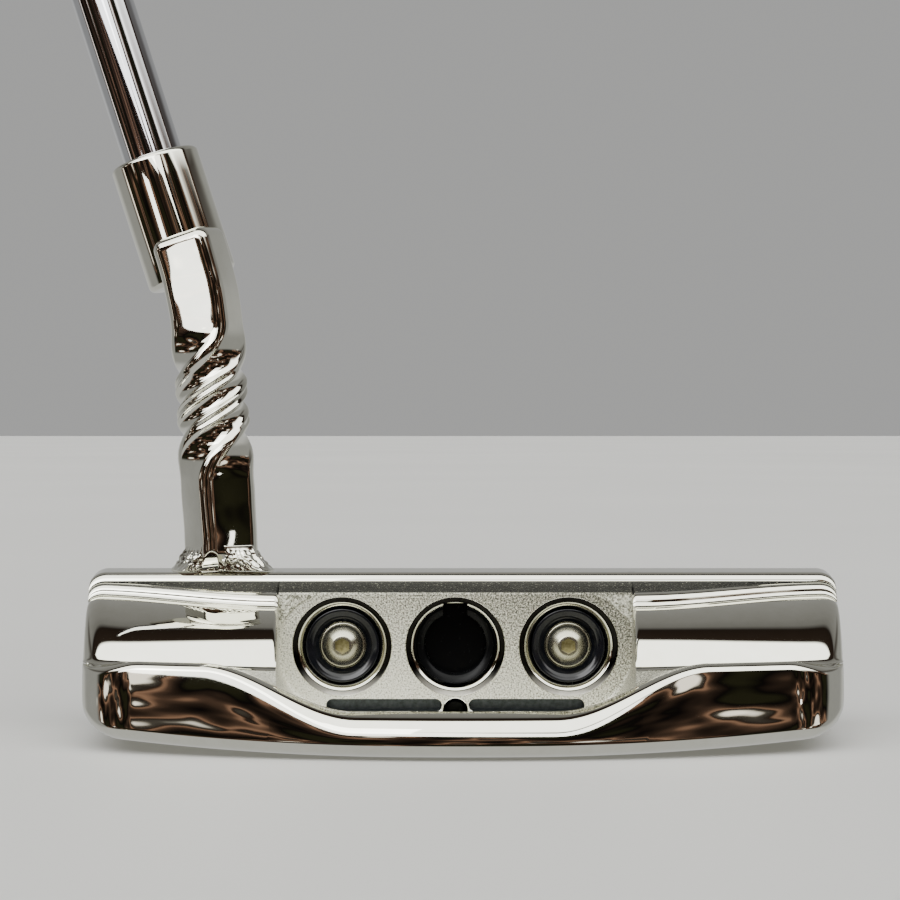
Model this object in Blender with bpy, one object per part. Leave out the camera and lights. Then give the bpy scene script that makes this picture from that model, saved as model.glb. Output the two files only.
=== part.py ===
"""A right-handed mid-mallet putter: polished head with a twisted square-bar neck.

Frame: +Z up, +X towards the toe, +Y the way the ball leaves. The origin is on the flat of the sole.
All driving dimensions are in millimetres and are turned into metres by MM.
"""

from math import atan2, cos, degrees, exp, hypot, log, pi, radians, sin, sqrt, tan

import bmesh
import bpy
from mathutils import Matrix, Vector

MM = 0.001
GAP = 0.3  # room kept between two pieces that touch on the real putter

# Head
HEAD_HALF_LENGTH = 57.7
END_TAPER = 0.0016  # the ends close in towards the rear, per millimetre
FACE_Y = 13.0
FACE_MID_Z = 12.3
LOFT = radians(3.0)
TOPLINE_Z = 24.5
TOPLINE_REAR_Y = 4.0
TOPLINE_DROP = 1.05
CENTRE_REAR_Y = -24.0
REAR_ARC_RADIUS = 190.0
REAR_CORNER_RADIUS = 8.0
FRONT_CORNER_RADIUS = 2.0
TOP_CORNER_RADIUS = 2.6
SOLE_CORNER_RADIUS = 6.0
CORNER_DEPTH = 0.8  # share of its radius that an end corner closes in
SOLE_CAMBER_RADIUS = 600.0
SOLE_FLAT_HALF = 9.0
RIM_HIGH_Z = 13.0
RIM_LOW_Z = 6.6
RIM_LOW_END_X = 15.0
RIM_HIGH_START_X = 38.0
RIM_HIGH_ROUND = 1.5
RIM_LOW_ROUND = 4.0
WALL_LEAN = radians(16.0)  # how far the rear wall leans in at its top
REAR_SOLE_ROUND = 3.1
REAR_SOLE_REACH = 5.0
WING_FOOT_Y = -12.0
WING_FOOT_Z = 12.0
WING_TOP_SLOPE = radians(10.0)
WING_FOOT_SLOPE = radians(54.5)

# Rear pocket, its ports and its slots
POCKET_X = -1.1
POCKET_HALF_LENGTH = 27.1
POCKET_FLOOR_Z = 3.3
POCKET_RADIUS = 9.2
POCKET_LIP_Y = -20.6
PORT_PITCH = 17.0
PORT_Z = 13.5
PORT_RADIUS = 5.9
PORT_DEPTH = 5.5
PORT_GROOVE_RADIUS = 7.4
THREAD_HOLE_RADIUS = 2.0
THREAD_HOLE_END_Y = 10.9
SLOT_LENGTH = 17.4
SLOT_HEIGHT = 1.9
SLOT_DEPTH = 3.0
SLOT_Z = 4.7
SLOT_BOSS = 4.0
DRAIN_RADIUS = 1.75
DRAIN_DEPTH = 4.0
DRAIN_Z = 3.9
KEY_WIDTH = 3.2
KEY_DEPTH = 3.0

# Weights and screws
WEIGHT_RADIUS = 5.6
WEIGHT_REAR_Y = 0.6
WEIGHT_FRONT_Y = 5.2
WEIGHT_SEAT_Y = 3.1
WEIGHT_SEAT_RADIUS = 3.7
WASHER_RADIUS = 3.4
WASHER_THICKNESS = 0.5
SCREW_HEAD_RADIUS = 3.0
SCREW_HEAD_HEIGHT = 1.8
SCREW_CROWN_RADIUS = 1.6
SCREW_DOME_HEIGHT = 1.5
SCREW_RADIUS = 1.7
SCREW_END_Y = 10.2
HEX_ACROSS_FLATS = 2.0
HEX_DEPTH = 1.2
FASTENER_GAP = 0.2

# Neck
BAR_SIDE = 9.4
BAR_CORNER = 1.9
BAR_Y = 8.6
BAR_FOOT_X = -36.9
BAR_FOOT_Z = TOPLINE_Z + GAP
BAR_TOP_Z = 76.2
BAR_LEAN = 0.0625  # sideways per unit of height in the straight lower run
BAR_BEND = 0.265  # extra lean above the bend
BAR_BEND_Z = 66.8
BAR_BEND_SOFTNESS = 2.5
BAR_FOOT_TURN = radians(31.0)
BAR_TOP_TURN = radians(345.0)
TWIST_START_Z = 38.3
TWIST_END_Z = 62.3
TWIST_MIDDLE_Z = 50.3
TWISTED_CORNER = 2.9  # twisting has rounded the corners most in the middle
BEAD_TOP_Z = 27.8
BEAD_WALL = 0.7
BEAD_FLARE = 2.6  # how much further the bead reaches at its foot
BEAD_HALF_DEPTH = 6.4
BEAD_RIPPLE = 0.03
BEAD_RIPPLES = 9
BEAD_LEVELS = 5
BEAD_SIDES = 24

# Socket, shaft and grip, all on the shaft's axis
LIE = radians(72.0)
SHAFT_Y = 15.6
SHAFT_GROUND_X = -19.7  # where the axis meets the ground
SOCKET_START = 73.0  # distances along the axis from the ground
SOCKET_END = 93.2
SOCKET_RADIUS = 7.0
SOCKET_BORE_RADIUS = 5.0
SOCKET_FLOOR = 2.0
SHAFT_TIP_RADIUS = 4.7
SHAFT_BUTT_RADIUS = 7.6
SHAFT_WALL = 0.8
PUTTER_LENGTH = 864.0
GRIP_LENGTH = 267.0
TAPE_THICKNESS = 0.3
GRIP_CAP_LENGTH = 5.0


def remove_everything():
    for thing in list(bpy.data.objects):
        bpy.data.objects.remove(thing)


def material(name, colour, roughness, metallic):
    made = bpy.data.materials.new(name)
    made.use_nodes = True
    shader = made.node_tree.nodes["Principled BSDF"]
    shader.inputs["Base Color"].default_value = (*colour, 1.0)
    shader.inputs["Roughness"].default_value = roughness
    shader.inputs["Metallic"].default_value = metallic
    return made


def smoothstep(value, start, end):
    t = min(max((value - start) / (end - start), 0.0), 1.0)
    return t * t * (3.0 - 2.0 * t)


def add_object(name, mesh, paint=None, parent=None, origin=(0.0, 0.0, 0.0)):
    thing = bpy.data.objects.new(name, mesh)
    bpy.context.collection.objects.link(thing)
    thing.location = Vector(origin) * MM
    if parent:
        thing.parent = parent
    if paint:
        mesh.materials.append(paint)
    mesh.shade_smooth()
    mesh.set_sharp_from_angle(angle=radians(32.0))
    return thing


def mesh_from(name, bm):
    bmesh.ops.recalc_face_normals(bm, faces=bm.faces)
    bmesh.ops.scale(bm, vec=(MM, MM, MM), verts=bm.verts)
    mesh = bpy.data.meshes.new(name)
    bm.to_mesh(mesh)
    bm.free()
    return mesh


def loft(name, rings):
    """A closed body through rings of points, capped flat at both ends."""
    bm = bmesh.new()
    rows = [[bm.verts.new(point) for point in ring] for ring in rings]
    count = len(rings[0])
    for low, high in zip(rows, rows[1:]):
        for i in range(count):
            j = (i + 1) % count
            bm.faces.new((low[i], low[j], high[j], high[i]))
    bm.faces.new(rows[0])
    bm.faces.new(rows[-1])
    return mesh_from(name, bm)


def tube_mesh(name, rings):
    """A closed tube through rings of points; the last ring joins the first."""
    bm = bmesh.new()
    rows = [[bm.verts.new(point) for point in ring] for ring in rings]
    count = len(rings[0])
    for low, high in zip(rows, rows[1:] + rows[:1]):
        for i in range(count):
            j = (i + 1) % count
            bm.faces.new((low[i], low[j], high[j], high[i]))
    return mesh_from(name, bm)


def turned(name, profile, steps=40, along_y=False):
    """A body turned about its axis from (radius, distance) points; a radius of 0 closes it on the axis."""
    bm = bmesh.new()
    rings = []
    for radius, distance in profile:
        if radius == 0.0:
            rings.append([bm.verts.new((0.0, 0.0, distance))])
            continue
        ring = []
        for i in range(steps):
            angle = 2.0 * pi * i / steps
            ring.append(bm.verts.new((radius * cos(angle), radius * sin(angle), distance)))
        rings.append(ring)
    pairs = list(zip(rings, rings[1:]))
    if len(rings[0]) > 1 or len(rings[-1]) > 1:
        pairs.append((rings[-1], rings[0]))
    for low, high in pairs:
        for i in range(steps):
            j = (i + 1) % steps
            if len(low) == 1:
                bm.faces.new((low[0], high[j], high[i]))
            elif len(high) == 1:
                bm.faces.new((low[i], low[j], high[0]))
            else:
                bm.faces.new((low[i], low[j], high[j], high[i]))
    if along_y:
        bmesh.ops.rotate(bm, matrix=Matrix.Rotation(radians(-90.0), 3, "X"), verts=bm.verts)
    return mesh_from(name, bm)


def cut(target, cutter):
    """Subtract the cutter, which stays as a hidden guide."""
    cutter.hide_render = True
    cutter.display_type = "WIRE"
    modifier = target.modifiers.new("cut_" + cutter.name, "BOOLEAN")
    modifier.operation = "DIFFERENCE"
    modifier.solver = "EXACT"
    modifier.object = cutter


def box_mesh(name, low, high):
    corners = [(low[0], low[1]), (high[0], low[1]), (high[0], high[1]), (low[0], high[1])]
    return loft(name, [[(x, y, z) for x, y in corners] for z in (low[2], high[2])])


# ---------------------------------------------------------------- head


def corner_loss(distance, radius):
    """How far a slightly flattened round corner has closed in, for a distance past its start."""
    past = min(max(distance, 0.0), radius)
    return CORNER_DEPTH * (radius - sqrt(radius * radius - past * past))


def face_y(z):
    return FACE_Y - (z - FACE_MID_Z) * tan(LOFT)


def rear_y(x):
    return CENTRE_REAR_Y + x * x / (2.0 * REAR_ARC_RADIUS)


def sole_z(x):
    past_flat = max(abs(x) - SOLE_FLAT_HALF, 0.0)
    return past_flat * past_flat / (2.0 * SOLE_CAMBER_RADIUS)


def arc(centre, radius_y, radius_z, start, end, count):
    """Points on an ellipse in the YZ plane; angles in degrees from +Y towards +Z."""
    points = []
    for i in range(count):
        angle = radians(start + (end - start) * i / (count - 1))
        points.append((centre[0] + radius_y * cos(angle), centre[1] + radius_z * sin(angle)))
    return points


def rear_profile(rear, sole, rim, rim_round):
    """From the sole round the rear: lower edge, a wall that leans in as it rises, and the rim's crest."""
    wall_foot = sole + REAR_SOLE_ROUND
    lower_edge = (rear + REAR_SOLE_REACH, wall_foot)
    outline = arc(lower_edge, REAR_SOLE_REACH, REAR_SOLE_ROUND, -90, -180, 6)
    wall_top = rim - rim_round * (1.0 - sin(WALL_LEAN))
    wall_radius = (wall_top - wall_foot) / sin(WALL_LEAN)
    half_lean = WALL_LEAN / 2.0
    outline.append((rear + wall_radius * (1.0 - cos(half_lean)), wall_foot + wall_radius * sin(half_lean)))
    set_back = wall_radius * (1.0 - cos(WALL_LEAN)) + rim_round * cos(WALL_LEAN)
    outline += arc((rear + set_back, rim - rim_round), rim_round, rim_round, 180 - degrees(WALL_LEAN), 90, 6)
    return outline


def head_section(x):
    """The head's outline in the YZ plane at x, before the end corners are rounded."""
    rear = rear_y(x)
    sole = sole_z(x)
    # the rim is low behind the pocket and sweeps up to the wings on both sides
    sweep = smoothstep(abs(x - POCKET_X), RIM_LOW_END_X, RIM_HIGH_START_X)
    rim = RIM_LOW_Z + (RIM_HIGH_Z - RIM_LOW_Z) * sweep
    rim_round = RIM_LOW_ROUND + (RIM_HIGH_ROUND - RIM_LOW_ROUND) * sweep
    inward = 1.0 - smoothstep(abs(x - POCKET_X), POCKET_HALF_LENGTH, HEAD_HALF_LENGTH)
    ledge_y = 2.9 - 3.5 * inward
    ledge_z = 22.9 - 1.3 * inward
    step_z = ledge_z - 1.9 - 0.3 * inward
    foot_z = min(WING_FOOT_Z, rim - 0.6)
    outline = arc((face_y(sole + 1.5) - 1.5, sole + 1.5), 1.5, 1.5, 0, -90, 3)
    outline += [(6.0, sole), (-6.0, sole)]
    outline += rear_profile(rear, sole, rim, rim_round)
    outline.append((WING_FOOT_Y - 1.2, foot_z))
    top_y = ledge_y - 1.2
    steps = 7
    for i in range(steps):
        t = i / (steps - 1)
        slope = WING_FOOT_SLOPE + (WING_TOP_SLOPE - WING_FOOT_SLOPE) * t
        along = (sin(WING_FOOT_SLOPE) - sin(slope)) / (sin(WING_FOOT_SLOPE) - sin(WING_TOP_SLOPE))
        rise = (cos(slope) - cos(WING_FOOT_SLOPE)) / (cos(WING_TOP_SLOPE) - cos(WING_FOOT_SLOPE))
        y = WING_FOOT_Y + (top_y - WING_FOOT_Y) * along
        outline.append((y, foot_z + 0.3 + (step_z - foot_z - 0.3) * rise))
    outline += [(ledge_y - 0.4, step_z + 0.7), (ledge_y - 0.1, ledge_z - 0.7), (ledge_y + 1.0, ledge_z)]
    drop_z = TOPLINE_Z - 0.4 - TOPLINE_DROP
    outline += [(TOPLINE_REAR_Y, drop_z), (TOPLINE_REAR_Y + 0.35, TOPLINE_Z - 0.7)]
    outline += [(TOPLINE_REAR_Y + 1.3, TOPLINE_Z - 0.2)]
    outline += [(face_y(TOPLINE_Z) - 1.2, TOPLINE_Z), (face_y(TOPLINE_Z) - 0.3, TOPLINE_Z - 0.4)]
    outline += [(face_y(TOPLINE_Z - 1.4), TOPLINE_Z - 1.4)]
    return outline


def squeezed(value, middle, edge, loss):
    """Pull a value towards the middle so that the edge moves in by loss."""
    return middle + (value - middle) * (1.0 - loss / abs(edge - middle))


def head_ring(x):
    """One section with the plan, top and sole corners rounded towards the head's ends."""
    distance = abs(x)
    top_loss = corner_loss(distance - HEAD_HALF_LENGTH + TOP_CORNER_RADIUS, TOP_CORNER_RADIUS)
    sole_loss = corner_loss(distance - HEAD_HALF_LENGTH + SOLE_CORNER_RADIUS, SOLE_CORNER_RADIUS)
    rear_loss = corner_loss(distance - HEAD_HALF_LENGTH + REAR_CORNER_RADIUS, REAR_CORNER_RADIUS)
    front_loss = corner_loss(distance - HEAD_HALF_LENGTH + FRONT_CORNER_RADIUS, FRONT_CORNER_RADIUS)
    ring = []
    for y, z in head_section(x):
        if z > FACE_MID_Z:
            z = squeezed(z, FACE_MID_Z, TOPLINE_Z, top_loss)
        else:
            z = squeezed(z, FACE_MID_Z, 0.0, sole_loss)
        if y > 0.0:
            y = squeezed(y, 0.0, FACE_Y, front_loss)
        else:
            y = squeezed(y, 0.0, rear_y(x), rear_loss)
        ring.append((x * (1.0 - END_TAPER * (FACE_Y - y)), y, z))
    return ring


def head_stations():
    """Places of the sections along the head, closer together at the ends and in the sweeps of the rim."""
    half = [0.0, 9.0, 15.0, 18.0, 21.0, 24.0, 27.0, 30.0, 33.0, 37.0, 42.0, 47.0]
    for angle in (0, 22, 40, 55, 68, 80, 90):
        half.append(HEAD_HALF_LENGTH - REAR_CORNER_RADIUS * (1.0 - sin(radians(angle))))
    return [-x for x in reversed(half[1:])] + half


def add_head(paint):
    head = add_object("head_body", loft("head_body", [head_ring(x) for x in head_stations()]), paint)
    half = POCKET_HALF_LENGTH
    ring = []
    centre_z = POCKET_FLOOR_Z + POCKET_RADIUS
    for side in (1.0, -1.0):
        for i in range(9):
            angle = radians(-90.0 + 180.0 * i / 8.0)
            across = side * (half - POCKET_RADIUS + POCKET_RADIUS * cos(angle))
            ring.append((POCKET_X + across, centre_z + side * POCKET_RADIUS * sin(angle)))
    prism = loft("pocket_cutter", [[(x, y, z) for x, z in ring] for y in (0.0, POCKET_LIP_Y)])
    cut(head, add_object("pocket_cutter", prism))
    low = (POCKET_X - half, CENTRE_REAR_Y - 5.0, centre_z)
    high = (POCKET_X + half, 0.0, TOPLINE_Z + 5.0)
    cut(head, add_object("pocket_top_cutter", box_mesh("pocket_top_cutter", low, high)))
    port = [
        (0.0, -2.0),
        (PORT_GROOVE_RADIUS, -2.0),
        (PORT_GROOVE_RADIUS, 0.05),
        (PORT_GROOVE_RADIUS - 0.5, 0.4),
        (PORT_GROOVE_RADIUS - 0.8, 0.1),
        (PORT_RADIUS + 0.3, 0.05),
        (PORT_RADIUS, 0.5),
        (PORT_RADIUS, PORT_DEPTH),
        (THREAD_HOLE_RADIUS, PORT_DEPTH),
        (THREAD_HOLE_RADIUS, THREAD_HOLE_END_Y),
        (0.0, THREAD_HOLE_END_Y),
    ]
    for i, place in enumerate(("heel", "centre", "toe")):
        centre = (POCKET_X + PORT_PITCH * (i - 1), 0.0, PORT_Z)
        name = place + "_port_cutter"
        cut(head, add_object(name, turned(name, port, 32, True), origin=centre))
    low = (POCKET_X - KEY_WIDTH / 2.0, -1.0, PORT_Z)
    high = (POCKET_X + KEY_WIDTH / 2.0, KEY_DEPTH, PORT_Z + PORT_RADIUS + 0.5)
    cut(head, add_object("key_cutter", box_mesh("key_cutter", low, high)))
    for side in (-1.0, 1.0):
        name = "heel_slot_cutter" if side < 0.0 else "toe_slot_cutter"
        centre_x = POCKET_X + side * (SLOT_BOSS + SLOT_LENGTH) / 2.0
        ring = []
        reach = (SLOT_LENGTH - SLOT_HEIGHT) / 2.0
        for end in (1.0, -1.0):
            for i in range(5):
                angle = radians(-90.0 + 45.0 * i)
                across = end * (reach + SLOT_HEIGHT / 2.0 * cos(angle))
                ring.append((centre_x + across, SLOT_Z + end * SLOT_HEIGHT / 2.0 * sin(angle)))
        slot = loft(name, [[(x, y, z) for x, z in ring] for y in (-0.5, SLOT_DEPTH)])
        cut(head, add_object(name, slot))
    drain = [(0.0, -0.5), (DRAIN_RADIUS, -0.5), (DRAIN_RADIUS, DRAIN_DEPTH), (0.0, DRAIN_DEPTH)]
    drain_cutter = add_object("drain_cutter", turned("drain_cutter", drain, 20, True))
    drain_cutter.location = Vector((POCKET_X, 0.0, DRAIN_Z)) * MM
    cut(head, drain_cutter)
    return head


# ---------------------------------------------------------------- neck


def bar_x(z):
    bend = BAR_BEND_SOFTNESS * log(1.0 + exp((z - BAR_BEND_Z) / BAR_BEND_SOFTNESS))
    return BAR_FOOT_X - BAR_LEAN * (z - BAR_FOOT_Z) - BAR_BEND * bend


def bar_ring(z, grow=0.0, sides=3):
    """The rounded square section of the bar, square to its centre line and turned by the twist."""
    turn = BAR_FOOT_TURN + (BAR_TOP_TURN - BAR_FOOT_TURN) * smoothstep(z, TWIST_START_Z, TWIST_END_Z)
    lean = atan2(bar_x(z - 0.5) - bar_x(z + 0.5), 1.0)
    rising = smoothstep(z, TWIST_START_Z, TWIST_MIDDLE_Z)
    falling = 1.0 - smoothstep(z, TWIST_MIDDLE_Z, TWIST_END_Z)
    in_twist = rising * falling
    half = BAR_SIDE / 2.0 + grow
    corner = BAR_CORNER + (TWISTED_CORNER - BAR_CORNER) * in_twist + grow
    ring = []
    for quarter in range(4):
        for i in range(sides):
            angle = radians(90.0 * i / (sides - 1))
            across = half - corner + corner * cos(angle)
            deep = half - corner + corner * sin(angle)
            heading = turn + quarter * pi / 2.0
            x = across * cos(heading) - deep * sin(heading)
            y = across * sin(heading) + deep * cos(heading)
            ring.append((bar_x(z) + x * cos(lean), BAR_Y + y, z + x * sin(lean)))
    return ring


def bar_stations(start, end):
    """Heights of the bar's sections, about 1 mm apart in the twist and wider elsewhere."""
    heights = [start]
    while heights[-1] < end - 0.1:
        twisting = TWIST_START_Z <= heights[-1] <= TWIST_END_Z
        heights.append(min(heights[-1] + (1.0 if twisting else 2.4), end))
    return heights


def shaft_point(distance):
    return Vector((SHAFT_GROUND_X - distance * cos(LIE), SHAFT_Y, distance * sin(LIE)))


def add_neck(steel, shaft_axis):
    sections = [bar_ring(z) for z in bar_stations(BAR_FOOT_Z, BAR_TOP_Z)]
    bar = add_object("neck_bar", loft("neck_bar", sections), steel)
    radius = SOCKET_RADIUS + GAP
    clearance = [(0.0, -14.0), (radius, -14.0), (radius, 40.0), (0.0, 40.0)]
    cope = turned("cope_cutter", clearance)
    cut(bar, add_object("cope_cutter", cope, parent=shaft_axis, origin=(0, 0, SOCKET_START)))
    add_neck_bead(steel)


def add_neck_bead(steel):
    """A rippled, flared collar of weld around the bar's foot."""
    outer = []
    inner = []
    for level in range(BEAD_LEVELS):
        t = level / (BEAD_LEVELS - 1)
        z = BAR_FOOT_Z + (BEAD_TOP_Z - BAR_FOOT_Z) * t
        centre = (bar_x(z), BAR_Y)
        bar = bar_ring(z, GAP, 7)
        hole = sorted((atan2(y - centre[1], x - centre[0]) % (2.0 * pi), x, y) for x, y, _ in bar)
        outer_ring = []
        inner_ring = []
        for i in range(BEAD_SIDES):
            angle = 2.0 * pi * i / BEAD_SIDES
            inside = radius_at(hole, angle, centre)
            ripple = 1.0 + BEAD_RIPPLE * sin(BEAD_RIPPLES * angle)
            outside = inside + BEAD_WALL + BEAD_FLARE * ripple * (1.0 - t) ** 2
            y = min(max(outside * sin(angle), -BEAD_HALF_DEPTH), BEAD_HALF_DEPTH)
            outer_ring.append((centre[0] + outside * cos(angle), BAR_Y + y, z))
            inner_ring.append((centre[0] + inside * cos(angle), BAR_Y + inside * sin(angle), z))
        outer.append(outer_ring)
        inner.append(inner_ring)
    tube = tube_mesh("neck_weld_bead", outer + inner[::-1])
    add_object("neck_weld_bead", tube, steel)


def radius_at(hole, angle, centre):
    """Distance from the centre to a closed outline, given as sorted (angle, x, y), in a direction."""
    count = len(hole)
    for i in range(count):
        start_angle, x0, y0 = hole[i]
        end_angle, x1, y1 = hole[(i + 1) % count]
        span = (end_angle - start_angle) % (2.0 * pi)
        if (angle - start_angle) % (2.0 * pi) <= span:
            ax = x0 - centre[0]
            ay = y0 - centre[1]
            bx = x1 - centre[0]
            by = y1 - centre[1]
            cross = ax * by - ay * bx
            return cross / ((by - ay) * cos(angle) - (bx - ax) * sin(angle))
    return hypot(hole[0][1] - centre[0], hole[0][2] - centre[1])


# ---------------------------------------------------------------- shaft and grip


def add_socket(steel, shaft_axis):
    length = SOCKET_END - SOCKET_START
    profile = [
        (0.0, 0.0),
        (SOCKET_RADIUS - 0.5, 0.0),
        (SOCKET_RADIUS, 0.5),
        (SOCKET_RADIUS, length - 0.6),
        (SOCKET_RADIUS - 0.6, length),
        (SOCKET_BORE_RADIUS, length),
        (SOCKET_BORE_RADIUS, SOCKET_FLOOR),
        (0.0, SOCKET_FLOOR),
    ]
    add_object("hosel_socket", turned("hosel_socket", profile), steel, shaft_axis, (0, 0, SOCKET_START))


def shaft_radius(distance):
    """The tube is parallel in the socket and then widens smoothly to the butt."""
    widening = smoothstep(distance, SOCKET_END, PUTTER_LENGTH)
    return SHAFT_TIP_RADIUS + (SHAFT_BUTT_RADIUS - SHAFT_TIP_RADIUS) * widening


def add_shaft(paint, plug_paint, shaft_axis):
    start = SOCKET_START + SOCKET_FLOOR + GAP
    end = PUTTER_LENGTH - GRIP_CAP_LENGTH - GAP
    count = 9
    stops = [start] + [SOCKET_END + (end - SOCKET_END) * i / (count - 1) for i in range(count)]
    outside = [(shaft_radius(d), d) for d in stops]
    inside = [(shaft_radius(d) - SHAFT_WALL, d) for d in reversed(stops)]
    add_object("shaft", turned("shaft", outside + inside, 28), paint, shaft_axis)
    radius = SHAFT_TIP_RADIUS - SHAFT_WALL - GAP
    plug = [(0.0, 0.0), (radius, 0.0), (radius, 8.0), (0.0, 8.0)]
    plug_mesh = turned("shaft_tip_plug", plug, 20)
    add_object("shaft_tip_plug", plug_mesh, plug_paint, shaft_axis, (0, 0, start + 4.0))


def grip_section(distance, bore):
    """A pistol grip's D-shaped outline: round at the back, flat at the front where the thumbs lie."""
    start = PUTTER_LENGTH - GRIP_LENGTH
    t = (distance - start) / GRIP_LENGTH
    width = 8.9 + 3.9 * smoothstep(t, 0.0, 0.9)
    waist = 1.1 * smoothstep(t, 0.45, 0.6) * (1.0 - smoothstep(t, 0.6, 0.8))
    swell = 9.0 + 5.2 * smoothstep(t, 0.25, 0.95) - waist
    flat = 9.0 + 2.0 * smoothstep(t, 0.0, 0.9)
    steps = 28
    ring = []
    for i in range(steps):
        angle = 2.0 * pi * i / steps
        if bore:
            ring.append((bore * cos(angle), bore * sin(angle), distance))
            continue
        depth = flat if sin(angle) > 0 else swell
        power = 0.55 if sin(angle) > 0 else 0.9
        x = width * abs(cos(angle)) ** power * (1 if cos(angle) >= 0 else -1)
        y = depth * abs(sin(angle)) ** power * (1 if sin(angle) >= 0 else -1)
        ring.append((x, y, distance))
    return ring


def add_grip(rubber, cap_rubber, tape, shaft_axis):
    start = PUTTER_LENGTH - GRIP_LENGTH
    end = PUTTER_LENGTH - GRIP_CAP_LENGTH - GAP
    stops = [start + (end - start) * i / 12.0 for i in range(13)]
    bore = SHAFT_BUTT_RADIUS + 2.0 * GAP + TAPE_THICKNESS
    rings = [grip_section(d, 0.0) for d in stops] + [grip_section(d, bore) for d in (end, start)]
    add_object("grip", tube_mesh("grip", rings), rubber, shaft_axis)
    cap_start = PUTTER_LENGTH - GRIP_CAP_LENGTH
    butt = [(x * 0.99, y * 0.99) for x, y, _ in grip_section(PUTTER_LENGTH, 0.0)]
    levels = ((1.0, 0.0), (1.0, 2.8), (0.93, 4.2), (0.78, 5.0))
    cap = [[(x * size, y * size, cap_start + rise) for x, y in butt] for size, rise in levels]
    add_object("grip_cap", loft("grip_cap", cap), cap_rubber, shaft_axis)
    inner = SHAFT_BUTT_RADIUS + GAP
    sleeve = [
        (inner, start + 4.0),
        (inner + TAPE_THICKNESS, start + 4.0),
        (inner + TAPE_THICKNESS, end - 2.0),
        (inner, end - 2.0),
    ]
    add_object("grip_tape", turned("grip_tape", sleeve, 24), tape, shaft_axis)


# ---------------------------------------------------------------- weights


def add_weight_set(place, side, weight_paint, screw_paint):
    """One port's weight, washer and screw, under an empty on the port's axis."""
    axis = bpy.data.objects.new(place + "_port_axis", None)
    axis.location = Vector((POCKET_X + side * PORT_PITCH, 0.0, PORT_Z)) * MM
    bpy.context.collection.objects.link(axis)
    weight = [
        (THREAD_HOLE_RADIUS, WEIGHT_SEAT_Y),
        (WEIGHT_SEAT_RADIUS, WEIGHT_SEAT_Y),
        (WEIGHT_SEAT_RADIUS, 2.0),
        (WEIGHT_RADIUS - 0.6, WEIGHT_REAR_Y),
        (WEIGHT_RADIUS - 0.2, WEIGHT_REAR_Y),
        (WEIGHT_RADIUS, WEIGHT_REAR_Y + 0.2),
        (WEIGHT_RADIUS, WEIGHT_FRONT_Y),
        (THREAD_HOLE_RADIUS, WEIGHT_FRONT_Y),
    ]
    add_object(place + "_weight", turned(place + "_weight", weight, 32, True), weight_paint, axis)
    washer_front = WEIGHT_SEAT_Y - FASTENER_GAP
    washer_rear = washer_front - WASHER_THICKNESS
    hole = SCREW_RADIUS + FASTENER_GAP
    washer = [
        (hole, washer_rear),
        (WASHER_RADIUS, washer_rear),
        (WASHER_RADIUS, washer_front),
        (hole, washer_front),
    ]
    add_object(place + "_washer", turned(place + "_washer", washer, 28, True), screw_paint, axis)
    add_screw(place, washer_rear - FASTENER_GAP, screw_paint, axis)


def add_screw(place, under_head, paint, axis):
    """A button-head screw whose hex socket is part of its mesh."""
    top = under_head - SCREW_HEAD_HEIGHT
    bm = bmesh.new()
    steps = 24
    hex_radius = HEX_ACROSS_FLATS / 2.0

    def hex_distance(angle):
        folded = (angle + pi / 6.0) % (pi / 3.0) - pi / 6.0
        return hex_radius / cos(folded)

    # a negative radius marks the rings of the hex socket
    profile = [(0.0, top + HEX_DEPTH), (-1.0, top + HEX_DEPTH), (-1.0, top), (SCREW_CROWN_RADIUS, top)]
    for i in range(1, 6):
        angle = radians(90.0 * i / 5.0)
        radius = SCREW_CROWN_RADIUS + (SCREW_HEAD_RADIUS - SCREW_CROWN_RADIUS) * sin(angle)
        profile.append((radius, top + SCREW_DOME_HEIGHT * (1.0 - cos(angle))))
    profile += [(SCREW_HEAD_RADIUS, under_head), (SCREW_RADIUS, under_head)]
    profile += [(SCREW_RADIUS, SCREW_END_Y - 0.5), (SCREW_RADIUS - 0.5, SCREW_END_Y), (0.0, SCREW_END_Y)]
    rings = []
    for radius, y in profile:
        if radius == 0.0:
            rings.append([bm.verts.new((0.0, y, 0.0))])
            continue
        ring = []
        for i in range(steps):
            angle = 2.0 * pi * i / steps
            reach = hex_distance(angle) if radius < 0 else radius
            ring.append(bm.verts.new((reach * cos(angle), y, reach * sin(angle))))
        rings.append(ring)
    for low, high in zip(rings, rings[1:]):
        for i in range(steps):
            j = (i + 1) % steps
            if len(low) == 1:
                bm.faces.new((low[0], high[j], high[i]))
            elif len(high) == 1:
                bm.faces.new((low[i], low[j], high[0]))
            else:
                bm.faces.new((low[i], low[j], high[j], high[i]))
    add_object(place + "_screw", mesh_from(place + "_screw", bm), paint, axis)


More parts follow.
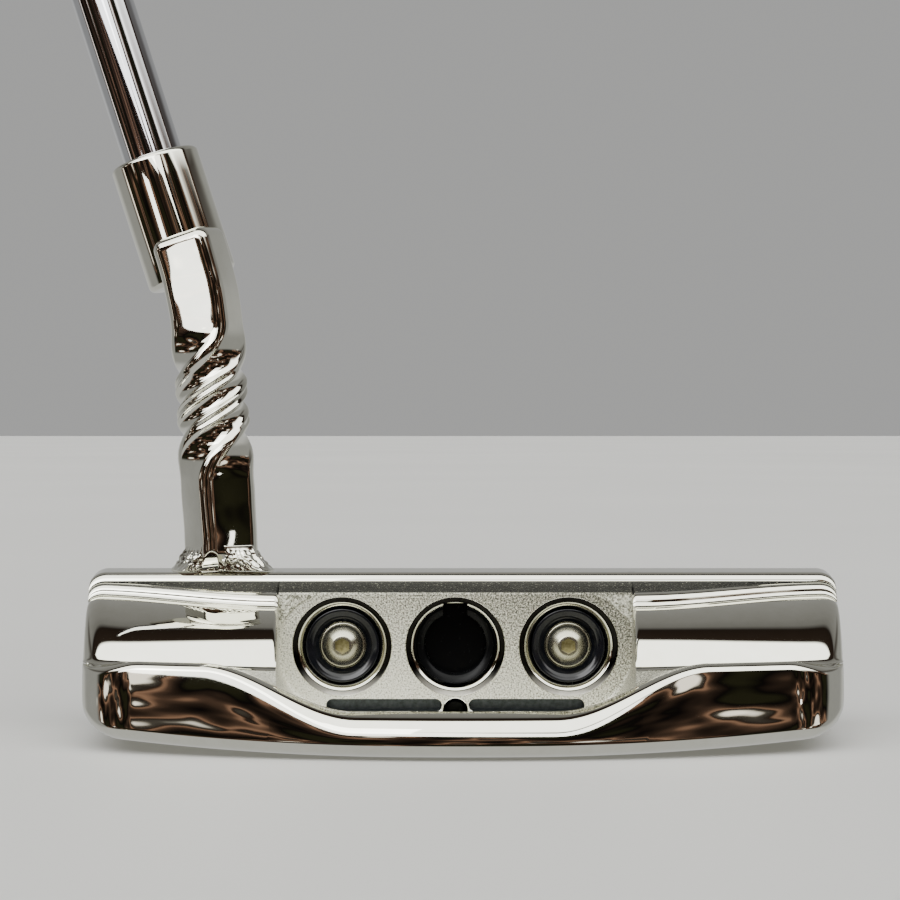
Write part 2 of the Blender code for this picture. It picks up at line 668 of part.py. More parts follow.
def main():
    remove_everything()
    nickel = material("polished_nickel", (0.78, 0.75, 0.70), 0.05, 1.0)
    chrome = material("shaft_chrome", (0.72, 0.73, 0.75), 0.08, 1.0)
    black = material("weight_black", (0.015, 0.017, 0.02), 0.25, 0.6)
    steel = material("screw_steel", (0.62, 0.60, 0.55), 0.2, 1.0)
    rubber = material("grip_rubber", (0.02, 0.02, 0.021), 0.75, 0.0)
    cap_rubber = material("cap_rubber", (0.03, 0.03, 0.032), 0.6, 0.0)
    tape = material("tape_paper", (0.75, 0.7, 0.6), 0.9, 0.0)
    cork = material("plug_cork", (0.45, 0.3, 0.18), 0.9, 0.0)
    shaft_axis = bpy.data.objects.new("shaft_axis", None)
    shaft_axis.location = shaft_point(0.0) * MM
    shaft_axis.rotation_euler = (0.0, LIE - pi / 2.0, 0.0)
    bpy.context.collection.objects.link(shaft_axis)
    add_head(nickel)
    add_neck(nickel, shaft_axis)
    add_socket(nickel, shaft_axis)
    add_shaft(chrome, cork, shaft_axis)
    add_grip(rubber, cap_rubber, tape, shaft_axis)
    add_weight_set("heel", -1.0, black, steel)
    add_weight_set("toe", 1.0, black, steel)


main()
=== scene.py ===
"""Looks for the mallet putter: smooth polished metal, blasted pocket, weights, neck, shaft and grip.

Shapes are worked out in millimetres in the CAD's own frame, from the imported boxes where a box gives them.
"""

from math import atan2, cos, degrees, exp, log, pi, radians, sin, sqrt, tan

import bmesh
import bpy
import numpy as np
from mathutils import Matrix, Vector, noise


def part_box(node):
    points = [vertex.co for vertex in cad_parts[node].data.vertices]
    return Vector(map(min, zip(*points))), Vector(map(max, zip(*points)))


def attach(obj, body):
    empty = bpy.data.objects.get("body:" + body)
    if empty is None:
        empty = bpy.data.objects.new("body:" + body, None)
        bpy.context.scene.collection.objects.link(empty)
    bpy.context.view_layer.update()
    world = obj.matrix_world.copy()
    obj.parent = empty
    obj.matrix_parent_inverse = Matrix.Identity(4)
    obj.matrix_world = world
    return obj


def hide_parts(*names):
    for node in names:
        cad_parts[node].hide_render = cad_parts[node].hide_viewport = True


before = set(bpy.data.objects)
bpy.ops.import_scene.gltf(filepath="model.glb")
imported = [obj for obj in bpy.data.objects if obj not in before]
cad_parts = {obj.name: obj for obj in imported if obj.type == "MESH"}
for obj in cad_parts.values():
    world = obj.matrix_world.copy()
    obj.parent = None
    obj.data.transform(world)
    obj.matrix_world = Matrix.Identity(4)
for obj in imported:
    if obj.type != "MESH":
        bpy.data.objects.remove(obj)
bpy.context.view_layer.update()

MM = 0.001

# Points nearer than this many metres are merged
MERGE_DISTANCE = 2e-7

# The ports, and which side of the pocket's middle each is on
PLACES = {"heel": -1, "centre": 0, "toe": 1}

# Material slots: of the head, then of the ports
POLISHED, BLASTED, COARSE = 0, 1, 2
DARK, SHADOW = 1, 2


def cad_box(node):
    """A CAD node's lowest and highest corner in millimetres."""
    low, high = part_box(node)
    return [v / MM for v in low], [v / MM for v in high]


def ends_of(node):
    """A CAD node's rear and front Y."""
    return [corner[1] for corner in cad_box(node)]


def centre_of(node):
    return [(a + b) / 2.0 for a, b in zip(*cad_box(node))]


head_low, head_high = cad_box("head_body")
heel_centre = centre_of("heel_screw")
toe_centre = centre_of("toe_screw")

# Head, as in the CAD, with the rim and the wings' feet drawn finer
HALF_LENGTH = head_high[0]
TOP_Z = head_high[2]
CENTRE_REAR_Y = head_low[1]
END_TAPER = 0.0016
FACE_Y = 13.0
FACE_MID_Z = 12.3
LOFT = radians(3.0)
REAR_ARC_RADIUS = 190.0
REAR_CORNER = 8.0
FRONT_CORNER = 2.0
TOP_CORNER = 2.6
SOLE_CORNER = 6.0
SOLE_CAMBER_RADIUS = 600.0
SOLE_FLAT_HALF = 9.0
FACE_SOLE_ROUND = 1.4
FACE_TOP_ROUND = 0.8
RIM_LOW_Z = 6.6
RIM_HIGH_Z = 13.0
RIM_LOW_END = 15.0
RIM_HIGH_START = 38.0
RIM_ROUND = 1.5
RIM_LOW_ROUND = 4.0
WALL_LEAN = radians(16.0)
REAR_SOLE_ROUND = 2.4
REAR_SOLE_RUN = 5.0
POCKET_X = (heel_centre[0] + toe_centre[0]) / 2.0
POCKET_HALF = 27.1
POCKET_FLOOR_Z = 3.3
POCKET_RADIUS = 9.2
POCKET_LIP_Y = -20.6
POCKET_WALL_Z = POCKET_FLOOR_Z + POCKET_RADIUS
EDGE_ROUND = 0.7
PANEL_FOOT_ROUND = 1.0
PANEL_TOP_ROUND = 0.35
LIP_WALL = 2.4
LEDGE_END_Y = 2.9
LEDGE_END_Z = 22.9
LEDGE_SET_BACK = 3.5
LEDGE_FALL = 1.3
STEP_HEIGHT = 1.9
STEP_GROWTH = 0.3
TOPLINE_LEAN = radians(10.0)
TOPLINE_REAR_Y = 3.85
TOPLINE_DROP = 1.45
TOPLINE_CROWN = 1.5
CORNER_TOP_Z = 21.25
CORNER_PROUD = 0.14
WING_FOOT_Y = -12.0
WING_FOOT_Z = 12.2
WING_FOOT_FALL = 0.9
RIM_END_DROP = 1.3
WING_FOOT_SLOPE = radians(52.0)
WING_TOP_SLOPE = radians(10.0)
SHELF_END = 38.0
PORT_PITCH = (toe_centre[0] - heel_centre[0]) / 2.0
PORT_Z = heel_centre[2]
PORT_MOUTH_RADIUS = 7.5
PORT_LIP_RADIUS = 6.65
PORT_RADIUS = 5.75
PORT_DEPTH = 5.4
OUTER_FACET_WIDTH = 0.75
OUTER_FACET_DEPTH = 0.62
INNER_FACET_START = 0.52
INNER_FACET_DEPTH = 0.95
KEY_HALF_WIDTH = 1.85
KEY_FRONT_Y = 0.42
KEY_BACK_Y = 4.6
KEY_REACH = 6.5

# Weights and screws
WEIGHT_RADIUS = 5.55
SCREW_HEAD_RADIUS = 3.05
SCREW_HEAD_HEIGHT = 1.8
SCREW_CROWN_RADIUS = 1.55
SCREW_DOME_HEIGHT = 1.5
SCREW_RADIUS = 1.7
HEX_HALF = 1.0
HEX_DEPTH = 1.2

# Slots and drain hole at the panel's foot
SLOT_LENGTH = 17.4
SLOT_HEIGHT = 1.9
SLOT_DEPTH = 3.0
SLOT_Z = 4.7
SLOT_BOSS = 4.0
DRAIN_RADIUS = 1.95
DRAIN_DEPTH = 4.0
DRAIN_Z = 3.9

# Neck
BAR_HALF = 4.7
BAR_CORNER = 1.9
BAR_Y = 8.6
BAR_FOOT_X = -36.9
BAR_FOOT_Z = TOP_Z + 0.02
BAR_TOP_Z = 76.2
BAR_TOP_ROUND = 1.6
BAR_LEAN = 0.0625
BAR_BEND = 0.265
BAR_BEND_Z = 66.8
BAR_BEND_SOFTNESS = 2.5
BAR_FOOT_TURN = radians(31.0)
BAR_TOP_TURN = radians(345.0)
TWIST_START_Z = 38.3
TWIST_END_Z = 62.3
TWIST_MIDDLE_Z = 50.3
TWISTED_CORNER = 2.9
FOLDS = 12
FOLD_DEPTH = 0.24
FOLDS_START_Z = 45.5
FOLDS_END_Z = 55.5
FOLDS_FADE = 2.2
SURFACE_WAVE = 0.10
FOOT_HALF_DEPTH = 4.3
FOOT_SPREAD = 0.45
FOOT_FRONT_TRIM = 0.3
FOOT_TRIM_HEIGHT = 6.0
BEAD_TOP_Z = 28.4
BEAD_REACH = 2.6
BEAD_RIPPLE = 0.42
BEAD_HALF_DEPTH = 4.1
BEAD_SET_BACK = 0.35

# Shaft line
LIE = radians(72.0)
SHAFT_Y = 15.6
SHAFT_GROUND_X = -19.7
SOCKET_START = 73.0
SOCKET_END = 93.2
SOCKET_RADIUS = 7.0
SHAFT_TIP_RADIUS = 4.7
SHAFT_BUTT_RADIUS = 7.6
SHAFT_WALL = 0.8
PUTTER_LENGTH = 864.0
GRIP_LENGTH = 267.0
GRIP_CAP_LENGTH = 5.0
FIRST_STEP = 190.0
STEP_PITCH = 32.0
GROOVE_DEPTH = 0.35
GROOVE_PITCH = 5.0

# Grip section at its mouth, and how much it grows towards the butt
GRIP_BORE_GAP = 0.3
GRIP_HALF_WIDTH = 8.9
GRIP_WIDTH_GROWTH = 3.9
GRIP_HALF_DEPTH = 9.0
GRIP_FRONT_GROWTH = 2.0
GRIP_BACK_GROWTH = 5.2
GRIP_WAIST = 1.1
GRIP_FRONT_POWER = 0.55
GRIP_BACK_POWER = 0.9

# Studio, in metres and watts
SOFTBOX = 3.7
ROOM_BLOTCH_SCALE = 4.6
ROOM_BLOTCH_DETAIL = 1.6
FLAT_GREY = (0.34, 0.34, 0.335)
REFLECTED_FLOOR = (0.58, 0.58, 0.57)
BACKDROP = (0.40, 0.40, 0.395)

# White cards: name, place, aim, width, height and power
CARDS = (
    ("high_card", (-0.33, -0.62, 0.355), (-0.07, 0.01, 0.11), 1.15, 0.19, 2.5),
    ("socket_card", (-0.13, -0.235, 0.195), (-0.07, 0.01, 0.13), 0.20, 0.12, 0.28),
    ("bar_card", (-0.100, -0.076, 0.071), (-0.041, 0.004, 0.067), 0.019, 0.030, 0.0066),
    ("foot_card", (0.212, -0.164, 0.024), (-0.036, 0.004, 0.035), 0.009, 0.010, 0.00105),
)

# Camera: level with the neck's twist and square to the pocket's panel
CAMERA_X = -1.9
CAMERA_Y = -320.0
CAMERA_Z = 47.5
CAMERA_LENS = 85.3
CAMERA_SHIFT_Y = -0.0333
SENSOR_WIDTH = 36.0


# Materials


class Nodes:
    """A node tree with short calls for its nodes; each gives back the output to link on."""

    def __init__(self, tree, space):
        self.tree = tree
        self.space = space

    def fill(self, node, values):
        """Link or set inputs by name or number; None leaves an input alone."""
        for key, value in values.items():
            socket = node.inputs[key]
            if isinstance(value, bpy.types.NodeSocket):
                self.tree.links.new(value, socket)
            elif isinstance(value, tuple):
                socket.default_value = (*value, 1.0)
            elif value is not None:
                socket.default_value = value

    def add(self, kind, values, **settings):
        node = self.tree.nodes.new(kind)
        for key, value in settings.items():
            setattr(node, key, value)
        self.fill(node, values)
        return node.outputs

    def place(self):
        return self.add("ShaderNodeTexCoord", {})[self.space]

    def axes(self):
        outputs = self.add("ShaderNodeSeparateXYZ", {"Vector": self.place()})
        return [outputs[axis] for axis in "XYZ"]

    def noise(self, scale, detail=2.0, roughness=0.5):
        values = {"Scale": scale, "Detail": detail, "Roughness": roughness, "Vector": self.place()}
        return self.add("ShaderNodeTexNoise", values)["Fac"]

    def ramp(self, source, stops):
        node = self.tree.nodes.new("ShaderNodeValToRGB")
        while len(node.color_ramp.elements) < len(stops):
            node.color_ramp.elements.new(0.5)
        for element, (position, colour) in zip(node.color_ramp.elements, stops):
            element.position = position
            element.color = (*colour, 1.0)
        self.fill(node, {"Fac": source})
        return node.outputs["Color"]

    def span(self, source, low, high, start=0.0, end=1.0):
        """Map start..end of the source straight onto low..high."""
        values = {"Value": source, "From Min": start, "From Max": end, "To Min": low, "To Max": high}
        return self.add("ShaderNodeMapRange", values)["Result"]

    def fade(self, source, start, end):
        """A smooth step from 0 at start to 1 at end."""
        values = {"Value": source, "From Min": start, "From Max": end}
        return self.add("ShaderNodeMapRange", values, interpolation_type="SMOOTHSTEP")["Result"]

    def math(self, operation, *values):
        return self.add("ShaderNodeMath", dict(enumerate(values)), operation=operation)["Value"]

    def mix(self, factor, first, second):
        values = {"Factor": factor, "A": first, "B": second}
        return self.add("ShaderNodeMix", values, data_type="RGBA")["Result"]

    def bump(self, source, strength, distance, previous=None):
        values = {"Height": source, "Strength": strength, "Distance": distance, "Normal": previous}
        return self.add("ShaderNodeBump", values)["Normal"]


class Paint(Nodes):
    """A material with one Principled shader, patterned in the object's own coordinates."""

    def __init__(self, name):
        self.material = bpy.data.materials.new(name)
        self.material.use_nodes = True
        super().__init__(self.material.node_tree, "Object")

    def finish(self, colour, roughness, metallic, normal=None, specular=None):
        values = {"Base Color": colour, "Roughness": roughness, "Metallic": metallic, "Normal": normal}
        values["Specular IOR Level"] = specular
        self.fill(self.tree.nodes["Principled BSDF"], values)
        return self.material


def grained(name, noise_settings, roughness, stops, metallic, bump=None, specular=None):
    """A finish whose colour, roughness span and bump all follow one noise."""
    paint = Paint(name)
    grain = paint.noise(*noise_settings)
    if isinstance(roughness, tuple):
        roughness = paint.span(grain, *roughness)
    tint = paint.ramp(grain, stops)
    normal = paint.bump(grain, *bump) if bump else None
    return paint.finish(tint, roughness, metallic, normal, specular)


def polished_nickel():
    """Mirror-polished warm nickel with faint buffing haze."""
    paint = Paint("polished_nickel")
    haze = paint.noise(420.0, 4.0, 0.6)
    rough = paint.span(haze, 0.015, 0.05)
    tint = paint.ramp(haze, [(0.3, (0.76, 0.755, 0.655)), (0.7, (0.81, 0.805, 0.71))])
    waves = paint.noise(160.0, 1.0, 0.4)
    return paint.finish(tint, rough, 1.0, paint.bump(waves, 0.02, 0.0003))


def blasted_nickel():
    """Bead-blasted nickel with a sparkling grain, and painted shade that darkens it towards the top and the
    toe.
    """
    paint = Paint("blasted_nickel")
    grain = paint.noise(3900.0, 3.0, 0.8)
    coarse = paint.noise(1500.0, 2.0, 0.6)
    x, _, z = paint.axes()
    # Painted shade: the grain is darkened with height, then towards the toe
    grain_with_painted_shade = paint.math("SUBTRACT", grain, paint.span(z, 0.0, 0.125, 0.004, 0.023))
    along = paint.math("MULTIPLY_ADD", x, -1.7, grain_with_painted_shade)
    stops = [
        (0.32, (0.05, 0.05, 0.035)),
        (0.40, (0.42, 0.41, 0.32)),
        (0.48, (0.88, 0.87, 0.74)),
        (0.58, (1.0, 1.0, 0.90)),
    ]
    tint = paint.ramp(along, stops)
    rough = paint.span(coarse, 0.30, 0.46)
    first = paint.bump(grain, 0.9, 0.00016)
    return paint.finish(tint, rough, 0.35, paint.bump(coarse, 0.3, 0.00012, first))


def corner_nickel_painted_shade():
    """The panel's corners: a coarser blast, with painted shade that makes them a little darker than its
    field.
    """
    # Painted shade: the stops sit higher than the field's, so the same grain comes out darker
    stops = [
        (0.38, (0.07, 0.07, 0.05)),
        (0.46, (0.40, 0.40, 0.31)),
        (0.54, (0.80, 0.79, 0.67)),
        (0.64, (1.0, 1.0, 0.90)),
    ]
    return grained("corner_nickel_painted_shade", (3400.0, 3.0, 0.8), (0.32, 0.46), stops, 0.6, bump=(0.9, 0.00018))


def shadow_nickel():
    """The countersinks' outer facet: painted shade above and a painted reflection at the bottom."""
    paint = Paint("shadow_nickel")
    grain = paint.noise(800.0, 2.0)
    rough = paint.span(grain, 0.10, 0.2)
    _, _, z = paint.axes()
    # Painted shade and reflection: dark towards the top, bright towards the bottom, with a little grain
    facet_painted_shade = paint.math("MULTIPLY_ADD", grain, 0.12, paint.span(z, 0.0, 1.0, 0.0052, 0.0115))
    stops = [
        (0.05, (0.5, 0.49, 0.43)),
        (0.35, (0.12, 0.115, 0.1)),
        (0.7, (0.02, 0.019, 0.017)),
        (1.0, (0.012, 0.011, 0.01)),
    ]
    return paint.finish(paint.ramp(facet_painted_shade, stops), rough, 1.0)


def coarse_nickel():
    """The ledge under the topline: a coarser, darker blast with bright specks."""
    paint = Paint("coarse_nickel")
    grain = paint.noise(3400.0, 3.0, 0.8)
    patches = paint.noise(500.0, 2.0, 0.5)
    rough = paint.span(patches, 0.3, 0.5)
    stops = [(0.50, (0.003, 0.003, 0.002)), (0.60, (0.012, 0.012, 0.009)), (0.68, (0.5, 0.5, 0.4))]
    return paint.finish(paint.ramp(grain, stops), rough, 0.6, paint.bump(grain, 0.9, 0.0002))


def black_gloss():
    """Black anodised weights with a glossy machined face."""
    stops = [(0.3, (0.003, 0.0035, 0.005)), (0.7, (0.007, 0.008, 0.012))]
    return grained("black_gloss", (900.0, 3.0), (0.10, 0.18), stops, 0.0, specular=0.42)


def slot_painted_shade():
    """The slots' insides: unpolished metal with some haze, its colour darkened as painted shade."""
    stops = [(0.3, (0.05, 0.058, 0.06)), (0.7, (0.11, 0.125, 0.13))]
    return grained("slot_painted_shade", (1400.0, 3.0, 0.6), (0.28, 0.42), stops, 0.7)


def bore_painted_shade():
    """Painted shade: near black for the insides of the ports, the drain and the centre port's key."""
    paint = Paint("bore_painted_shade")
    rough = paint.span(paint.noise(1200.0, 2.0), 0.18, 0.32)
    return paint.finish((0.003, 0.0033, 0.004), rough, 0.0, specular=0.12)


def screw_steel():
    stops = [(0.3, (0.50, 0.49, 0.38)), (0.7, (0.58, 0.57, 0.46))]
    return grained("screw_steel", (700.0, 2.0), (0.22, 0.30), stops, 1.0)


def socket_brass():
    """The hex socket's floor, where thread lacquer has left an olive tint."""
    stops = [(0.35, (0.30, 0.27, 0.12)), (0.65, (0.50, 0.46, 0.25))]
    return grained("socket_brass", (2500.0, 3.0), 0.45, stops, 0.8)


def shaft_chrome():
    stops = [(0.3, (0.66, 0.67, 0.69)), (0.7, (0.72, 0.73, 0.75))]
    return grained("shaft_chrome", (300.0, 4.0, 0.6), (0.02, 0.07), stops, 1.0)


def plug_cork():
    stops = [(0.35, (0.20, 0.11, 0.05)), (0.65, (0.46, 0.29, 0.15))]
    return grained("plug_cork", (900.0, 4.0, 0.7), 0.85, stops, 0.0, bump=(0.5, 0.0003))


def tape_paper():
    stops = [(0.3, (0.62, 0.58, 0.48)), (0.7, (0.74, 0.70, 0.60))]
    return grained("tape_paper", (1800.0, 3.0, 0.6), 0.75, stops, 0.0, bump=(0.2, 0.0001))


def grip_rubber():
    paint = Paint("grip_rubber")
    grain = paint.noise(2600.0, 3.0, 0.6)
    dust = paint.noise(45.0, 3.0)
    rough = paint.span(dust, 0.62, 0.82)
    tint = paint.ramp(dust, [(0.3, (0.012, 0.012, 0.013)), (0.7, (0.026, 0.026, 0.027))])
    return paint.finish(tint, rough, 0.0, paint.bump(grain, 0.35, 0.0002))


def floor_paint():
    stops = [(0.3, (0.70, 0.70, 0.69)), (0.7, (0.74, 0.74, 0.73))]
    return grained("floor_paint", (3.0, 2.0), 0.55, stops, 0.0)


# Mesh helpers


def smoothstep(value, start, end):
    t = min(max((value - start) / (end - start), 0.0), 1.0)
    return t * t * (3.0 - 2.0 * t)


def arc(centre, radius, start, end, count, stretch=1.0):
    """Points on an arc, stretched along the first axis; angles in degrees from it to the second."""
    points = []
    for i in range(count):
        angle = radians(start + (end - start) * i / (count - 1))
        points.append((centre[0] + stretch * radius * cos(angle), centre[1] + radius * sin(angle)))
    return points


def circle(radius, height, count):
    """A ring of points at one height, round +Z."""
    angles = [2 * pi * i / count for i in range(count)]
    return [(radius * cos(angle), radius * sin(angle), height) for angle in angles]


def linked(name, data):
    thing = bpy.data.objects.new(name, data)
    bpy.context.collection.objects.link(thing)
    return thing


def new_piece(name, verts, faces, paints, face_paint=None, sharp=None):
    """A mesh object in metres from points in millimetres, its faces turned outward."""
    mesh = bpy.data.meshes.new(name)
    mesh.from_pydata([tuple(c * MM for c in v) for v in verts], [], faces)
    for paint in paints:
        mesh.materials.append(paint)
    if face_paint is not None:
        mesh.polygons.foreach_set("material_index", face_paint)
    mesh.shade_smooth()
    if sharp:
        mesh.set_sharp_from_angle(angle=radians(sharp))
    mesh.update()
    piece = linked(name, mesh)
    outward(piece)
    return piece


def outward(piece):
    bm = bmesh.new()
    bm.from_mesh(piece.data)
    bmesh.ops.remove_doubles(bm, verts=bm.verts, dist=MERGE_DISTANCE)
    bmesh.ops.recalc_face_normals(bm, faces=bm.faces)
    bm.to_mesh(piece.data)
    bm.free()


def hand_over(piece, body, node):
    """Ride the piece on its body in place of its CAD node."""
    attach(piece, body)
    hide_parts(node)


def ring_faces(rows, around, closed_along=False):
    """Quads between consecutive rings of the same length."""
    faces = []
    last = rows if closed_along else rows - 1
    for r in range(last):
        s = (r + 1) % rows
        for i in range(around):
            j = (i + 1) % around
            faces.append((r * around + i, r * around + j, s * around + j, s * around + i))
    return faces


def lofted_piece(name, rings, paints, face_paint=None, sharp=None):
    """A closed piece through rings of equal length, with a flat cap at each end."""
    around = len(rings[0])
    verts = [point for ring in rings for point in ring]
    faces = ring_faces(len(rings), around)
    faces.append(tuple(range(around)))
    faces.append(tuple((len(rings) - 1) * around + i for i in range(around)))
    return new_piece(name, verts, faces, paints, face_paint, sharp)


def turned_ring(centre, radius, y, steps, hexagonal=False):
    """A ring about a line along Y, round or six-sided; radius 0 gives one point."""
    if radius == 0.0:
        return [(centre[0], centre[1] + y, centre[2])]
    ring = []
    for i in range(steps):
        angle = 2.0 * pi * i / steps
        reach = radius
        if hexagonal:
            reach = radius / cos((angle + pi / 6.0) % (pi / 3.0) - pi / 6.0)
        ring.append((centre[0] + reach * cos(angle), centre[1] + y, centre[2] + reach * sin(angle)))
    return ring


def piece_from_rings(name, rings, paints, bands=None, sharp=35.0):
    """A closed piece through turned rings; bands gives the material index from ring to ring."""
    verts = []
    rows = []
    for ring in rings:
        rows.append(range(len(verts), len(verts) + len(ring)))
        verts += ring
    pairs = list(zip(rows, rows[1:]))
    if len(rows[0]) > 1:
        pairs.append((rows[-1], rows[0]))
    steps = max(len(row) for row in rows)
    faces = []
    face_paint = []
    for k, (low, high) in enumerate(pairs):
        for i in range(steps):
            j = (i + 1) % steps
            if len(low) == 1:
                face = (low[0], high[i], high[j])
            elif len(high) == 1:
                face = (low[i], high[0], low[j])
            else:
                face = (low[i], high[i], high[j], low[j])
            faces.append(face)
            face_paint.append(bands[min(k, len(bands) - 1)] if bands else 0)
    return new_piece(name, verts, faces, paints, face_paint, sharp)


def turned_piece(name, profile, paints, bands=None, steps=96, centre=(0, 0, 0)):
    """A piece turned about a line along Y through the centre, from (radius, y) points."""
    rings = [turned_ring(centre, radius, y, steps) for radius, y in profile]
    return piece_from_rings(name, rings, paints, bands)


def box_piece(name, low, high, paint):
    corners = [(low[0], low[1]), (high[0], low[1]), (high[0], high[1]), (low[0], high[1])]
    return lofted_piece(name, [[(x, y, z) for x, y in corners] for z in (low[2], high[2])], [paint])


def subtract(piece, cutter):
    modifier = piece.modifiers.new("cut", "BOOLEAN")
    modifier.operation = "DIFFERENCE"
    modifier.solver = "EXACT"
    modifier.object = cutter
    modifier.material_mode = "TRANSFER"
    bpy.context.view_layer.update()
    evaluated = piece.evaluated_get(bpy.context.evaluated_depsgraph_get())
    mesh = bpy.data.meshes.new_from_object(evaluated)
    piece.modifiers.remove(modifier)
    piece.data = mesh
    bpy.data.objects.remove(cutter)


def resmooth(piece, sharp):
    piece.data.shade_smooth()
    piece.data.set_sharp_from_angle(angle=radians(sharp))


# Head


def corner_loss(distance, radius):
    past = min(max(distance, 0.0), radius)
    return radius - sqrt(radius * radius - past * past)


def face_y(z):
    return FACE_Y - (z - FACE_MID_Z) * tan(LOFT)


def rear_y(x):
    return CENTRE_REAR_Y + x * x / (2.0 * REAR_ARC_RADIUS)


def sole_z(x):
    past_flat = max(abs(x) - SOLE_FLAT_HALF, 0.0)
    return past_flat * past_flat / (2.0 * SOLE_CAMBER_RADIUS)


def soft_min(a, b, width):
    """The lower of two heights, with the crease between them rounded over width."""
    h = max(width - abs(a - b), 0.0) / width
    return min(a, b) - h * h * width * 0.25


def pocket_floor(x):
    """Height of the pocket's floor, which rises in an arc to each end."""
    past = max(abs(x - POCKET_X) - (POCKET_HALF - POCKET_RADIUS), 0.0)
    return POCKET_FLOOR_Z + POCKET_RADIUS - sqrt(max(POCKET_RADIUS**2 - past * past, 0.0))


def wing_height(t, foot_z, step_z):
    """The wing bends over from a shallow slope at the topline to a steep one at its foot."""
    slope = WING_FOOT_SLOPE + (WING_TOP_SLOPE - WING_FOOT_SLOPE) * t
    along = (sin(WING_FOOT_SLOPE) - sin(slope)) / (sin(WING_FOOT_SLOPE) - sin(WING_TOP_SLOPE))
    rise = (cos(slope) - cos(WING_FOOT_SLOPE)) / (cos(WING_TOP_SLOPE) - cos(WING_FOOT_SLOPE))
    return along, foot_z + (step_z - foot_z) * rise


def rear_profile(rear, sole, rim, rim_round):
    """A soft lower edge, a rear wall that leans in, and the rim's crest."""
    wall_foot = sole + REAR_SOLE_ROUND
    stretch = REAR_SOLE_RUN / REAR_SOLE_ROUND
    outline = arc((rear + REAR_SOLE_RUN, wall_foot), REAR_SOLE_ROUND, -90, -180, 18, stretch)
    wall_top = rim - rim_round * (1.0 - sin(WALL_LEAN))
    wall_radius = (wall_top - wall_foot) / sin(WALL_LEAN)
    for i in range(1, 9):
        lean = WALL_LEAN * i / 8.0
        outline.append((rear + wall_radius * (1.0 - cos(lean)), wall_foot + wall_radius * sin(lean)))
    crest_y = rear + wall_radius * (1.0 - cos(WALL_LEAN)) + rim_round * cos(WALL_LEAN)
    outline += arc((crest_y, rim - rim_round), rim_round, 180 - degrees(WALL_LEAN), 90, 16)[1:]
    return outline, crest_y


def step_profile(y, z, size, turn):
    """A soft step up towards the face: hollow at its foot, round at its top edge."""
    hollow = 0.5 * size
    edge = 0.68 * size
    outline = arc((y - hollow * cos(turn), z + hollow), hollow, -80, -degrees(turn), 8)
    foot_y, foot_z = outline[-1]
    edge_centre = (foot_y + edge * cos(turn), foot_z - edge * sin(turn) + 0.02)
    outline += arc(edge_centre, edge, 180 - degrees(turn), 95, 9)
    return outline


def pocket_lip(lip_y, lip_z, floor):
    """The pocket's rear lip: a small round over, then a hollow down to the floor."""
    height = lip_z - floor
    outer = min(0.4, max(0.4 * height, 0.0))
    inner = min(0.8, max(0.6 * height, 0.0))
    outline = arc((lip_y - outer, lip_z - outer), outer, 80, 0, 6)
    outline += arc((lip_y + inner, min(floor, lip_z) + inner), inner, 180, 270, 6)
    return outline


def wing_surface(start_y, valley_y, top_y, foot_z, step_z, rim_ledge):
    """From the rim's ledge through the valley and up the wing to the topline's step."""
    surface = []
    for i in range(6):
        y = start_y + (valley_y - 0.6 - start_y) * i / 5.0
        surface.append((y, rim_ledge(y)))
    bend_y, bend_z = surface[-1]
    first_y = WING_FOOT_Y + 0.3
    first_z = foot_z + 0.3 + 0.27 * tan(WING_FOOT_SLOPE)
    knee_y = WING_FOOT_Y - 0.35
    knee_z = foot_z - 0.1
    for i in range(1, 7):
        t = i / 7.0
        before, beside, after = (1 - t) ** 2, 2 * t * (1 - t), t * t
        y = before * bend_y + beside * knee_y + after * first_y
        surface.append((y, before * bend_z + beside * knee_z + after * first_z))
    for i in range(24):
        along, height = wing_height(i / 23.0, first_z, step_z)
        surface.append((first_y + (top_y - first_y) * along, height))
    return surface


